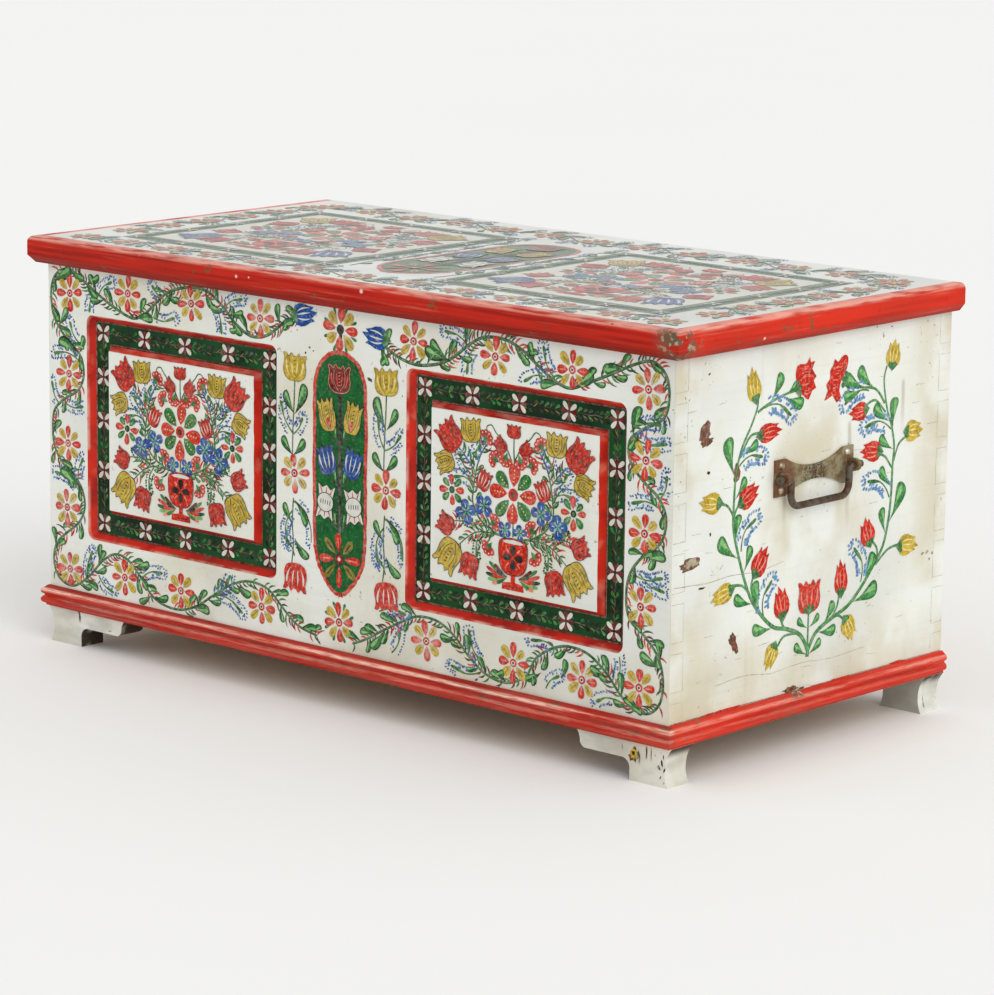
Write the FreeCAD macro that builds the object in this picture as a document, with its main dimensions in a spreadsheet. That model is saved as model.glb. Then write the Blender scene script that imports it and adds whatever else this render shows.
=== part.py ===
# Painted dowry chest: a dovetailed pine case on bracket feet with fielded front panels,
# a hinged lid with a moulded edge, iron drop handles, strap hinges and an inside lock.
# Millimetres, +Z up, front towards -Y, origin on the floor under the middle of the whole chest.
import FreeCAD
import Part
import Sketcher
import math
import os
from types import SimpleNamespace

# Driving dimensions, one sheet cell each
SIZES = {
    # Case boards and their through dovetails
    "case_width": 1100,
    "case_depth": 550,
    "wall_height": 486,
    "board": 24,
    "tail_count": 8,
    "dovetail_narrow": 14,
    "dovetail_flare": 4,
    # Sunk windows of the front and the fielded panels behind them
    "middle_stile": 228,
    "outer_stile": 74,
    "window_height": 308,
    "window_rise": 103,
    "window_radius": 12,
    "window_foot_radius": 5,
    "bevel_run": 8,
    "lip_depth": 11,
    "rebate_lap": 12,
    "panel_gap": 1,
    "band_width": 44,
    "band_height": 46,
    "field_slope": 6,
    "field_raise": 10.5,
    # Keyhole
    "keyhole_drop": 41,
    "keyhole_radius": 5,
    "keyhole_slot": 6,
    "keyhole_length": 14,
    # Bottom planks, base moulding and feet
    "bottom_thickness": 20,
    "base_height": 28,
    "base_reach": 10.5,
    "foot_height": 50,
    "foot_thickness": 40,
    "foot_flare": 6,
    "foot_hollow": 5,
    "foot_base": 60,
    "foot_reach": 146,
    "shoulder_height": 27,
    "rear_foot_base": 66,
    "rear_foot_top": 78,
    # Lid
    "lid_thickness": 24,
    "lid_gap": 1.5,
    "lid_edge_thickness": 18.5,
    "lid_edge_height": 36,
    "lid_edge_radius": 8,
    "lid_chamfer_run": 8,
    "lid_chamfer_rise": 10,
    "batten_width": 64,
    "batten_thickness": 18,
    "batten_slope": 7,
    "batten_offset": 190,
    "batten_inset": 40,
    # Strap hinges
    "hinge_offset": 330,
    "strap_width": 32,
    "strap_thickness": 3,
    "strap_length": 230,
    "strap_tip": 15,
    "strap_leg": 110,
    "leaf_gap": 1,
    "notch_play": 0.5,
    "knuckle_radius": 5.5,
    "knuckle_gap": 0.5,
    "knuckle_play": 0.4,
    "hinge_pin_radius": 2.5,
    "hinge_pin_play": 0.05,
    "hinge_pin_head_radius": 4,
    "hinge_pin_head": 2,
    # Drop handles on the two sides
    "handle_rise": 303,
    "handle_forward": 6,
    "plate_length": 156,
    "plate_end_height": 46,
    "plate_end_width": 21,
    "plate_waist": 18,
    "plate_thickness": 3,
    "ear_offset": 70,
    "ear_thickness": 6,
    "ear_radius": 8,
    "pivot_reach": 12,
    "bail_radius": 4.5,
    "bail_play": 0.3,
    "bail_half_width": 58,
    "bail_drop": 36,
    "bail_bend": 15,
    "hook_bend": 7,
    "hook_tail": 9,
    "screw_offset": 66,
    "screw_rise": 15,
    "screw_radius": 2.3,
    "screw_length": 20,
    "screw_head_radius": 5,
    "screw_head": 3,
    # Lock inside the front and its staple under the lid
    "lock_width": 110,
    "lock_height": 78,
    "lock_drop": 8,
    "lock_plate": 2.5,
    "lock_case_width": 88,
    "lock_case_depth": 22,
    "lock_case_margin": 5,
    "lock_wall": 2,
    "key_post_radius": 2,
    "key_post_inset": 6,
    "staple_drop": 32,
    "staple_bar": 4,
    "staple_depth": 5,
    "staple_eye": 7.5,
    "staple_play": 1.5,
    "staple_plate_width": 38,
    "staple_plate_depth": 21,
    "staple_plate": 2.5,
    "bolt_length": 34,
    "bolt_height": 9,
    "bolt_thickness": 6,
    "bolt_gap": 2,
    "bolt_lift": 1,
    "bolt_play": 0.3,
    "bolt_talon_radius": 5,
    "rail_length": 20,
    "rail_height": 5,
    # Open till at the left end
    "till_width": 140,
    "till_height": 112,
    "till_drop": 22,
    "till_board": 12,
    "cleat": 14,
}

# A quarter round passes this share of its radius inside its corner, measured along each side
CORNER_SHARE = 1 - math.sqrt(0.5)

doc = FreeCAD.newDocument("DowryChest")
sheet = doc.addObject("Spreadsheet::Sheet", "Sizes")
for row, (name, number) in enumerate(SIZES.items(), start=1):
    sheet.set(f"A{row}", name)
    sheet.set(f"B{row}", str(number))
    sheet.setAlias(f"B{row}", name)
doc.recompute()


def number_of(size):
    """The plain number of a size."""
    return size.number if isinstance(size, Size) else size


def text_of(size):
    """The expression that keeps a size tied to the sheet."""
    return size.text if isinstance(size, Size) else repr(size)


class Size:
    """A number together with the sheet expression that it comes from."""

    def __init__(self, number, text):
        self.number = number
        self.text = text

    def joined(self, sign, other, number):
        return Size(number, f"({self.text} {sign} {text_of(other)})")

    def __add__(self, other):
        return self.joined("+", other, self.number + number_of(other))

    def __radd__(self, other):
        return self + other

    def __sub__(self, other):
        return self.joined("-", other, self.number - number_of(other))

    def __rsub__(self, other):
        return -self + other

    def __mul__(self, other):
        return self.joined("*", other, self.number * number_of(other))

    def __truediv__(self, other):
        return self.joined("/", other, self.number / number_of(other))

    def __neg__(self):
        return self * -1


def root(size):
    """The square root of a product of two sizes, or of a sum of such products."""
    return Size(math.sqrt(size.number), f"sqrt({size.text})")


s = SimpleNamespace(**{name: Size(number, f"Sizes.{name}") for name, number in SIZES.items()})

# Planes that several pieces share
rim = s.foot_height + s.wall_height
top = rim + s.lid_thickness
side = s.case_width / 2
inner_side = side - s.board
lid_overhang = s.lid_gap + s.lid_edge_thickness
hinge_reach = s.knuckle_gap + s.knuckle_radius
front = (lid_overhang - s.case_depth - hinge_reach - s.knuckle_radius) / 2
back = front + s.case_depth
inner_front = front + s.board
inner_back = back - s.board

# Windows fill the front between its stiles, and a green band runs round each field inside its window
window_width = side - s.middle_stile / 2 - s.outer_stile
window_offset = (s.middle_stile + window_width) / 2
field_width = window_width - s.band_width * 2
field_height = s.window_height - s.band_height * 2


def bind(piece, **sizes):
    """Ties each named property of a piece to its size."""
    for name, size in sizes.items():
        piece.setExpression(name, text_of(size))
    return piece


def place(piece, x=0, y=0, z=0):
    """Ties a piece's place to the sizes."""
    for axis, size in (("x", x), ("y", y), ("z", z)):
        piece.setExpression(f"Placement.Base.{axis}", text_of(size))
    return piece


def box(name, x, y, z):
    """A board that fills a span along each axis."""
    piece = doc.addObject("Part::Box", name)
    bind(piece, Length=x[1] - x[0], Width=y[1] - y[0], Height=z[1] - z[0])
    return place(piece, x[0], y[0], z[0])


TURNS = {
    "x": FreeCAD.Rotation(FreeCAD.Vector(0, 1, 0), 90),
    "y": FreeCAD.Rotation(FreeCAD.Vector(1, 0, 0), -90),
}


def rod(name, along, radius, length, x, y, z):
    """A round bar that starts at a point and runs along X or Y."""
    piece = doc.addObject("Part::Cylinder", name)
    piece.Placement = FreeCAD.Placement(FreeCAD.Vector(), TURNS[along])
    bind(piece, Radius=radius, Height=length)
    return place(piece, x, y, z)


def fuse(name, *pieces):
    """One solid made of several that overlap or meet."""
    whole = doc.addObject("Part::MultiFuse", name)
    whole.Shapes = list(pieces)
    whole.Refine = True
    return whole


def cut(name, base, *tools):
    """A piece with the room of other pieces taken out of it."""
    for count, tool in enumerate(tools, start=1):
        last = count == len(tools)
        rest = doc.addObject("Part::Cut", name if last else f"{name}_stage_{count}")
        rest.Base = base
        rest.Tool = tool
        base = rest
    return base


def mirrored(name, source, normal=(1, 0, 0), y=0, z=0):
    """The mirror image of a piece, across the chest's middle unless a plane is given."""
    image = doc.addObject("Part::Mirroring", name)
    image.Source = source
    image.Normal = FreeCAD.Vector(*normal)
    image.setExpression("Base.y", text_of(y))
    image.setExpression("Base.z", text_of(z))
    return image


def new_body(name):
    return doc.addObject("PartDesign::Body", name)


def origin_plane(body, role):
    """One of a body's own planes or axes."""
    return next(feature for feature in body.Origin.OriginFeatures if feature.Role == role)


def new_sketch(body, name, role, lift=0):
    """An empty sketch on one of the body's own planes, lifted along the plane's normal."""
    sketch = body.newObject("Sketcher::SketchObject", name)
    sketch.AttachmentSupport = (origin_plane(body, role), [""])
    sketch.MapMode = "FlatFace"
    sketch.setExpression("AttachmentOffset.Base.z", text_of(lift))
    return sketch


def flat_point(pair):
    return FreeCAD.Vector(number_of(pair[0]), number_of(pair[1]), 0)


def tie_point(sketch, edge, end, pair):
    """Holds one point of a sketch at a pair of sizes."""
    for kind, size in (("DistanceX", pair[0]), ("DistanceY", pair[1])):
        index = sketch.addConstraint(Sketcher.Constraint(kind, edge, end, float(number_of(size))))
        if isinstance(size, Size):
            sketch.setExpression(f"Constraints[{index}]", size.text)


def draw_edge(sketch, start, corner):
    """A straight edge to a corner, or an arc if the corner also names a point on the way."""
    bent = len(corner) == 4
    if bent:
        curve = Part.Arc(flat_point(start), flat_point(corner[2:]), flat_point(corner))
    else:
        curve = Part.LineSegment(flat_point(start), flat_point(corner))
    edge = sketch.addGeometry(curve, False)
    from_start = [sketch.getPoint(edge, end).distanceToPoint(flat_point(start)) for end in (1, 2)]
    head, tail = (1, 2) if from_start[0] < from_start[1] else (2, 1)
    tie_point(sketch, edge, tail, corner)
    if bent:
        way = sketch.addGeometry(Part.Point(flat_point(corner[2:])), True)
        tie_point(sketch, way, 1, corner[2:])
        sketch.addConstraint(Sketcher.Constraint("PointOnObject", way, 1, edge))
    return edge, head, tail


def join_edges(sketch, edges, following):
    for (edge, _, tail), (after, head, _) in zip(edges, following):
        sketch.addConstraint(Sketcher.Constraint("Coincident", edge, tail, after, head))


def draw_loop(sketch, corners):
    """A closed outline through its corners."""
    starts = corners[-1:] + corners[:-1]
    edges = [draw_edge(sketch, start, corner) for start, corner in zip(starts, corners)]
    join_edges(sketch, edges, edges[1:] + edges[:1])


def draw_path(sketch, corners):
    """An open line through its corners."""
    edges = [draw_edge(sketch, start, corner) for start, corner in zip(corners[:-1], corners[1:])]
    join_edges(sketch, edges[:-1], edges[1:])
    tie_point(sketch, edges[0][0], edges[0][1], corners[0])


def draw_circle(sketch, centre, radius):
    circle = Part.Circle(flat_point(centre), FreeCAD.Vector(0, 0, 1), number_of(radius))
    edge = sketch.addGeometry(circle, False)
    tie_point(sketch, edge, 3, centre)
    index = sketch.addConstraint(Sketcher.Constraint("Radius", edge, float(number_of(radius))))
    sketch.setExpression(f"Constraints[{index}]", radius.text)


def outline(body, name, role, *loops, lift=0):
    """A sketch of one or more closed outlines."""
    sketch = new_sketch(body, name, role, lift)
    for corners in loops:
        draw_loop(sketch, corners)
    return sketch


def grown(kind, body, name, sketch, length, reverse=False, both_ways=False):
    """A pad or pocket from a sketch, over a given length."""
    feature = body.newObject(f"PartDesign::{kind}", name)
    feature.Profile = sketch
    feature.Reversed = reverse
    feature.SideType = "Symmetric" if both_ways else "One side"
    bind(feature, Length=length)
    return feature


def rectangle(x, z):
    return [(x[0], z[0]), (x[1], z[0]), (x[1], z[1]), (x[0], z[1])]


def rounded_rectangle(x, z, radius):
    """A rectangle with a quarter round at each corner."""
    inset = radius * CORNER_SHARE
    return [
        (x[1] - radius, z[0]),
        (x[1], z[0] + radius, x[1] - inset, z[0] + inset),
        (x[1], z[1] - radius),
        (x[1] - radius, z[1], x[1] - inset, z[1] - inset),
        (x[0] + radius, z[1]),
        (x[0], z[1] - radius, x[0] + inset, z[1] - inset),
        (x[0], z[0] + radius),
        (x[0] + radius, z[0], x[0] + inset, z[0] + inset),
    ]


def about(centre, width):
    """The span of a width about its middle."""
    return centre - width / 2, centre + width / 2


def keyhole(z):
    """A round key hole with a slot below it, its round centred at a height."""
    half_slot = s.keyhole_slot / 2
    shoulder = z - root(s.keyhole_radius * s.keyhole_radius - half_slot * half_slot)
    return [
        (-half_slot, z - s.keyhole_length),
        (half_slot, z - s.keyhole_length),
        (half_slot, shoulder),
        (-half_slot, shoulder, 0, z + s.keyhole_radius),
    ]


# Dovetailed boards: the front and back carry the tails, the sides carry the pins


def tailed_board(name):
    """A board as wide as the case with a row of pin sockets down each end."""
    body = new_body(name)
    face = outline(body, f"{name}_face", "XZ_Plane", rectangle(about(0, s.case_width), (0, s.wall_height)))
    grown("Pad", body, f"{name}_blank", face, s.board, reverse=True)
    narrow = s.dovetail_narrow / 2
    wide = narrow + s.dovetail_flare
    left_socket = [(-side, -narrow), (-inner_side, -wide), (-inner_side, wide), (-side, narrow)]
    right_socket = [(inner_side, -wide), (side, -narrow), (side, narrow), (inner_side, wide)]
    sockets = outline(body, f"{name}_sockets", "XZ_Plane", left_socket, right_socket)
    first = grown("Pocket", body, f"{name}_first_sockets", sockets, s.board)
    row = body.newObject("PartDesign::LinearPattern", f"{name}_socket_row")
    row.Originals = [first]
    row.Direction = (sockets, ["V_Axis"])
    bind(row, Length=s.wall_height, Occurrences=s.tail_count + 1)
    body.Tip = row
    return body


def add_windows(body):
    """Two sunk windows with bevelled lips, rebated from behind for the fielded panels."""
    centre = s.window_rise + s.window_height / 2
    across = about(window_offset, window_width)
    upright = about(centre, s.window_height)
    foot_across = about(window_offset, window_width - s.bevel_run * 2)
    foot_upright = about(centre, s.window_height - s.bevel_run * 2)
    mouth = outline(body, "window_mouth", "XZ_Plane", rounded_rectangle(across, upright, s.window_radius))
    foot_loop = rounded_rectangle(foot_across, foot_upright, s.window_foot_radius)
    foot = outline(body, "window_foot", "XZ_Plane", foot_loop, lift=-s.lip_depth)
    bevel = body.newObject("PartDesign::SubtractiveLoft", "window_bevel")
    bevel.Profile = mouth
    bevel.Sections = [foot]
    bevel.Ruled = True
    rebate_loop = rectangle(
        (foot_across[0] - s.rebate_lap, foot_across[1] + s.rebate_lap),
        (foot_upright[0] - s.rebate_lap, foot_upright[1] + s.rebate_lap),
    )
    rebate_sketch = outline(body, "panel_rebate", "XZ_Plane", rebate_loop, lift=-s.lip_depth)
    rebate = grown("Pocket", body, "panel_rebate_cut", rebate_sketch, s.board - s.lip_depth)
    pair = body.newObject("PartDesign::Mirrored", "window_pair")
    pair.Originals = [bevel, rebate]
    pair.MirrorPlane = (origin_plane(body, "YZ_Plane"), [""])
    body.Tip = pair


front_board = place(tailed_board("front_board"), y=front, z=s.foot_height)
add_windows(front_board)
key_sketch = outline(front_board, "front_keyhole", "XZ_Plane", keyhole(s.wall_height - s.keyhole_drop))
grown("Pocket", front_board, "front_keyhole_cut", key_sketch, s.board)

back_board = place(tailed_board("back_board"), y=inner_back, z=s.foot_height)
notch_width = s.strap_width + s.notch_play * 2
notch_depth = s.strap_thickness * 2 + s.leaf_gap
notch_span = (s.wall_height - notch_depth, s.wall_height)
notches = outline(
    back_board,
    "hinge_notches",
    "XZ_Plane",
    rectangle(about(-s.hinge_offset, notch_width), notch_span),
    rectangle(about(s.hinge_offset, notch_width), notch_span),
)
grown("Pocket", back_board, "hinge_notch_cut", notches, s.board)

# Fielded panels, set into the rebates from inside


def fielded_panel(name, centre_x):
    centre_z = s.foot_height + s.window_rise + s.window_height / 2
    shrink = (s.bevel_run - s.rebate_lap + s.panel_gap) * 2
    floor_y = front + s.lip_depth
    back_sheet = box(
        f"{name}_sheet",
        about(centre_x, window_width - shrink),
        (floor_y, inner_front),
        about(centre_z, s.window_height - shrink),
    )
    field = doc.addObject("Part::Wedge", f"{name}_field")
    base_x = about(0, field_width + s.field_slope * 2)
    base_z = about(0, field_height + s.field_slope * 2)
    crown_x = about(0, field_width)
    crown_z = about(0, field_height)
    bind(field, Xmin=crown_x[0], Xmax=crown_x[1], Zmin=crown_z[0], Zmax=crown_z[1])
    bind(field, X2min=base_x[0], X2max=base_x[1], Z2min=base_z[0], Z2max=base_z[1])
    bind(field, Ymin=0, Ymax=s.field_raise)
    place(field, centre_x, floor_y - s.field_raise, centre_z)
    return fuse(name, back_sheet, field)


right_panel = fielded_panel("right_front_panel", window_offset)
left_panel = fielded_panel("left_front_panel", -window_offset)

# Drop handles: a waisted plate with two ears, a round bail hooked through them, four screws

handle_y = front + s.case_depth / 2 - s.handle_forward
handle_z = s.foot_height + s.handle_rise


def handle_plate():
    body = place(new_body("plate_forging"), side, handle_y, handle_z)
    end = s.plate_length / 2
    shoulder = end - s.plate_end_width
    high = s.plate_end_height / 2
    waist = s.plate_waist / 2
    face = outline(body, "plate_face", "YZ_Plane", [
        (end, -high),
        (end, high),
        (shoulder, high),
        (-shoulder, high, 0, waist),
        (-end, high),
        (-end, -high),
        (-shoulder, -high),
        (shoulder, -high, 0, -waist),
    ])
    grown("Pad", body, "plate_sheet", face, s.plate_thickness)
    nose = s.pivot_reach + s.ear_radius
    ear = outline(body, "ear_face", "XZ_Plane", [
        (0, -s.ear_radius),
        (s.pivot_reach, -s.ear_radius),
        (s.pivot_reach, s.ear_radius, nose, 0),
        (0, s.ear_radius),
    ], lift=-s.ear_offset)
    lug = grown("Pad", body, "ear", ear, s.ear_thickness, both_ways=True)
    pair = body.newObject("PartDesign::Mirrored", "ear_pair")
    pair.Originals = [lug]
    pair.MirrorPlane = (origin_plane(body, "XZ_Plane"), [""])
    body.Tip = pair
    eye = new_sketch(body, "ear_eye", "XZ_Plane")
    draw_circle(eye, (s.pivot_reach, 0), s.bail_radius + s.bail_play)
    grown("Pocket", body, "ear_eye_cut", eye, s.plate_length + s.ear_thickness, both_ways=True)
    return body


def handle_bail(name):
    """A round bar bent to a square drop, its ends hooked outwards through the ears."""
    body = place(new_body(name), side, handle_y, handle_z)
    leg = s.bail_half_width
    hook = leg + s.hook_bend
    tail = s.ear_offset + s.ear_thickness / 2 + s.hook_tail
    hook_inset = s.hook_bend * CORNER_SHARE
    turn = s.bail_drop - s.bail_bend
    run = leg - s.bail_bend
    bend_inset = s.bail_bend * CORNER_SHARE
    spine = new_sketch(body, f"{name}_line", "YZ_Plane", lift=s.pivot_reach)
    draw_path(spine, [
        (-tail, 0),
        (-hook, 0),
        (-leg, -s.hook_bend, -leg - hook_inset, -hook_inset),
        (-leg, -turn),
        (-run, -s.bail_drop, -leg + bend_inset, -s.bail_drop + bend_inset),
        (run, -s.bail_drop),
        (leg, -turn, leg - bend_inset, -s.bail_drop + bend_inset),
        (leg, -s.hook_bend),
        (hook, 0, leg + hook_inset, -hook_inset),
        (tail, 0),
    ])
    section = new_sketch(body, f"{name}_section", "XZ_Plane", lift=tail)
    draw_circle(section, (s.pivot_reach, 0), s.bail_radius)
    pipe = body.newObject("PartDesign::AdditivePipe", f"{name}_bar")
    pipe.Profile = section
    pipe.Spine = spine
    return body


def handle_screws(name):
    """Four domed screws, two at each end of the plate."""
    body = new_body("handle_screw")
    place(body, side, handle_y + s.screw_offset, handle_z + s.screw_rise)
    seat = s.plate_thickness
    crown = seat + s.screw_head
    slant = root(s.screw_head_radius * s.screw_head_radius + s.screw_head * s.screw_head)
    dome_radius = slant * slant / (s.screw_head * 2)
    halfway = crown - dome_radius + dome_radius * s.screw_head_radius / slant
    half = outline(body, "screw_half", "XZ_Plane", [
        (-s.screw_length, 0),
        (-s.screw_length + s.screw_radius, s.screw_radius),
        (seat, s.screw_radius),
        (seat, s.screw_head_radius),
        (crown, 0, halfway, slant / 2),
    ])
    turn = body.newObject("PartDesign::Revolution", "screw_turn")
    turn.Profile = half
    turn.ReferenceAxis = (half, ["H_Axis"])
    turn.Angle = 360
    lower = mirrored("lower_screw", body, (0, 0, 1), z=handle_z)
    front_upper = mirrored("front_upper_screw", body, (0, 1, 0), y=handle_y)
    front_lower = mirrored("front_lower_screw", lower, (0, 1, 0), y=handle_y)
    group = doc.addObject("Part::Compound", name)
    group.Links = [body, lower, front_upper, front_lower]
    return group


right_screws = handle_screws("right_handle_screws")
left_screws = mirrored("left_handle_screws", right_screws)
right_plate = cut("right_handle_plate", handle_plate(), right_screws)
left_plate = mirrored("left_handle_plate", right_plate)
right_bail = handle_bail("right_bail")
left_bail = mirrored("left_bail", right_bail)

# Side boards, with the tails of the front and back and the screws let into them

side_blank = box("side_blank", (inner_side, side), (front, back), (s.foot_height, rim))
right_side = cut("right_side_board", side_blank, front_board, back_board, right_screws)
left_side = mirrored("left_side_board", right_side)

# Bottom planks, laid side by side between the walls

PLANKS = ("front", "middle", "rear")


def plank_row(kind, across, along, upright):
    """Three planks of equal width that share a span from front to back."""
    step = (along[1] - along[0]) / len(PLANKS)
    return [
        box(f"{where}_{kind}", across, (along[0] + step * count, along[0] + step * (count + 1)), upright)
        for count, where in enumerate(PLANKS)
    ]


floor_top = s.foot_height + s.bottom_thickness
bottom = plank_row(
    "bottom_plank", (-inner_side, inner_side), (inner_front, inner_back), (s.foot_height, floor_top)
)

# Mouldings: one section runs along the front and both sides and is mitred at the front corners


def front_run(name, section, half_length, reach, height):
    """The front length of a moulding, mitred at both ends; its section's first size points out."""
    body = new_body(name)
    outwards = (-1, 1, -1, 1)
    turned = [tuple(size * sign for size, sign in zip(corner, outwards)) for corner in section]
    face = outline(body, f"{name}_section", "YZ_Plane", turned)
    far = half_length + reach
    grown("Pad", body, f"{name}_run", face, far * 2, both_ways=True)
    mitres = outline(
        body,
        f"{name}_mitres",
        "XY_Plane",
        [(half_length, 0), (far, -reach), (far, 0)],
        [(-half_length, 0), (-far, 0), (-far, -reach)],
    )
    grown("Pocket", body, f"{name}_mitre_cut", mitres, height, reverse=True)
    return body


def side_run(name, section, length, reach, height):
    """The right-hand length of a moulding, mitred in front and square at the back."""
    body = new_body(name)
    face = outline(body, f"{name}_section", "XZ_Plane", section, lift=reach)
    grown("Pad", body, f"{name}_run", face, length + reach, reverse=True)
    mitre = outline(body, f"{name}_mitre", "XY_Plane", [(0, 0), (0, -reach), (reach, -reach)])
    grown("Pocket", body, f"{name}_mitre_cut", mitre, height, reverse=True)
    return body


# Base moulding: a hollow under two reeds with a quirk between them and a sloping top.
# Each corner is a share of the reach and of the height; four shares make an arc.
BASE_SHARES = (
    (0.0, 0.0),
    (0.5, 0.0),
    (0.74, 0.12, 0.56, 0.09),
    (0.76, 0.44, 1.0, 0.28),
    (0.64, 0.48),
    (0.64, 0.54),
    (0.78, 0.57),
    (0.7, 0.87, 1.0, 0.71),
    (0.3, 1.0),
    (0.0, 1.0),
)


def base_section():
    scale = (s.base_reach, s.base_height, s.base_reach, s.base_height)
    return [
        tuple(size * share if share else 0 for size, share in zip(scale, corner))
        for corner in BASE_SHARES
    ]


front_base = front_run("front_base_moulding", base_section(), side, s.base_reach, s.base_height)
place(front_base, y=front, z=s.foot_height)
right_base = side_run("right_base_moulding", base_section(), s.case_depth, s.base_reach, s.base_height)
place(right_base, side, front, s.foot_height)
left_base = mirrored("left_base_moulding", right_base)

# Feet: sawn from thick board, hollowed on the outer end; the front ones have a bracket wing

# Heights as shares of the foot's height, set-ins as shares of the wing or of the foot
HOLLOW_HEIGHT_SHARE = 0.46
HEEL_HEIGHT_SHARE = 0.26
COVE_SHARES = (0.22, 0.7)
WING_SHARES = (0.16, 0.84, 0.93)
WING_HEIGHT_SHARES = (0.15, 0.5, 0.72)


def outer_foot_end():
    """The hollow outer end, from the floor up to the flare under the moulding."""
    return (s.foot_flare, s.foot_height, -s.foot_hollow, s.foot_height * HOLLOW_HEIGHT_SHARE)


def front_foot(name):
    body = place(new_body(name), side, front)
    wing = s.foot_reach - s.foot_base
    rise = s.foot_height - s.shoulder_height
    heel = s.foot_height * HEEL_HEIGHT_SHARE
    cove = s.shoulder_height - heel
    shoulder = s.foot_base + wing * WING_SHARES[0]
    ogee_low = s.foot_base + wing * WING_SHARES[1]
    ogee_mid = s.foot_base + wing * WING_SHARES[2]
    face = outline(body, f"{name}_face", "XZ_Plane", [
        (-s.foot_base, 0),
        (0, 0),
        outer_foot_end(),
        (-s.foot_reach, s.foot_height),
        (
            -ogee_mid,
            s.shoulder_height + rise * WING_HEIGHT_SHARES[1],
            -s.foot_reach + (s.foot_reach - ogee_mid) * COVE_SHARES[1],
            s.shoulder_height + rise * WING_HEIGHT_SHARES[2],
        ),
        (
            -ogee_low,
            s.shoulder_height,
            -ogee_low - (ogee_mid - ogee_low) * COVE_SHARES[1],
            s.shoulder_height + rise * WING_HEIGHT_SHARES[0],
        ),
        (-shoulder, s.shoulder_height),
        (
            -s.foot_base,
            heel,
            -s.foot_base - (shoulder - s.foot_base) * COVE_SHARES[0],
            heel + cove * COVE_SHARES[1],
        ),
    ])
    grown("Pad", body, f"{name}_block", face, s.foot_thickness, reverse=True)
    return body


def rear_foot(name):
    body = place(new_body(name), side, back - s.foot_thickness)
    waist = s.rear_foot_base - s.foot_hollow
    face = outline(body, f"{name}_face", "XZ_Plane", [
        (0, 0),
        outer_foot_end(),
        (-s.rear_foot_top, s.foot_height),
        (-s.rear_foot_base, 0, -waist, s.foot_height * HOLLOW_HEIGHT_SHARE),
    ])
    grown("Pad", body, f"{name}_block", face, s.foot_thickness, reverse=True)
    return body


right_front_foot = front_foot("front_right_foot")
left_front_foot = mirrored("front_left_foot", right_front_foot)
right_rear_foot = rear_foot("rear_right_foot")
left_rear_foot = mirrored("rear_left_foot", right_rear_foot)

# Lid: three planks with a moulded edge on the front and sides that hangs over the rim

lid_face = side + s.lid_gap
lid_front = front - s.lid_gap
lid_planks = plank_row("lid_plank", (-lid_face, lid_face), (lid_front, back), (rim, top))

edge_inset = s.lid_edge_radius * CORNER_SHARE
EDGE_SECTION = [
    (0, 0),
    (s.lid_edge_thickness - s.lid_chamfer_run, 0),
    (s.lid_edge_thickness, s.lid_chamfer_rise),
    (s.lid_edge_thickness, s.lid_edge_height - s.lid_edge_radius),
    (
        s.lid_edge_thickness - s.lid_edge_radius,
        s.lid_edge_height,
        s.lid_edge_thickness - edge_inset,
        s.lid_edge_height - edge_inset,
    ),
    (0, s.lid_edge_height),
]
edge_low = top - s.lid_edge_height
front_edge = front_run(
    "front_lid_moulding", EDGE_SECTION, lid_face, s.lid_edge_thickness, s.lid_edge_height
)
place(front_edge, y=lid_front, z=edge_low)
lid_depth = s.case_depth + s.lid_gap
right_edge = side_run(
    "right_lid_moulding", EDGE_SECTION, lid_depth, s.lid_edge_thickness, s.lid_edge_height
)
place(right_edge, lid_face, lid_front, edge_low)
left_edge = mirrored("left_lid_moulding", right_edge)


def lid_batten(name):
    """A bevelled cross batten under the lid planks."""
    body = place(new_body(name), s.batten_offset, inner_front + s.batten_inset, rim)
    half = s.batten_width / 2
    face = outline(body, f"{name}_section", "XZ_Plane", [
        (-half, 0),
        (-half + s.batten_slope, -s.batten_thickness),
        (half - s.batten_slope, -s.batten_thickness),
        (half, 0),
    ])
    length = s.case_depth - s.board * 2 - s.batten_inset * 2
    grown("Pad", body, f"{name}_run", face, length, reverse=True)
    return body


right_batten = lid_batten("right_lid_batten")
left_batten = mirrored("left_lid_batten", right_batten)

# Strap hinges: one leaf under the lid, one cranked over the rim and down inside the back

axis_y = back + hinge_reach
axis_z = rim - s.strap_thickness - s.leaf_gap / 2
half_strap = s.strap_width / 2
half_middle = s.strap_width / 6 - s.knuckle_play / 2
outer_start = s.strap_width / 6 + s.knuckle_play / 2
upper_leaf = (axis_z + s.leaf_gap / 2, rim)
lower_leaf = (axis_z - s.leaf_gap / 2 - s.strap_thickness, axis_z - s.leaf_gap / 2)


def hinge_rod(name, radius, start, length):
    """A round on the hinge axis, starting at a distance from the middle of the right hinge."""
    return rod(name, "x", radius, length, s.hinge_offset + start, axis_y, axis_z)


def hinge_bore(name):
    bore_radius = s.hinge_pin_radius + s.hinge_pin_play
    return hinge_rod(name, bore_radius, -half_strap, s.strap_width)


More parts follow.
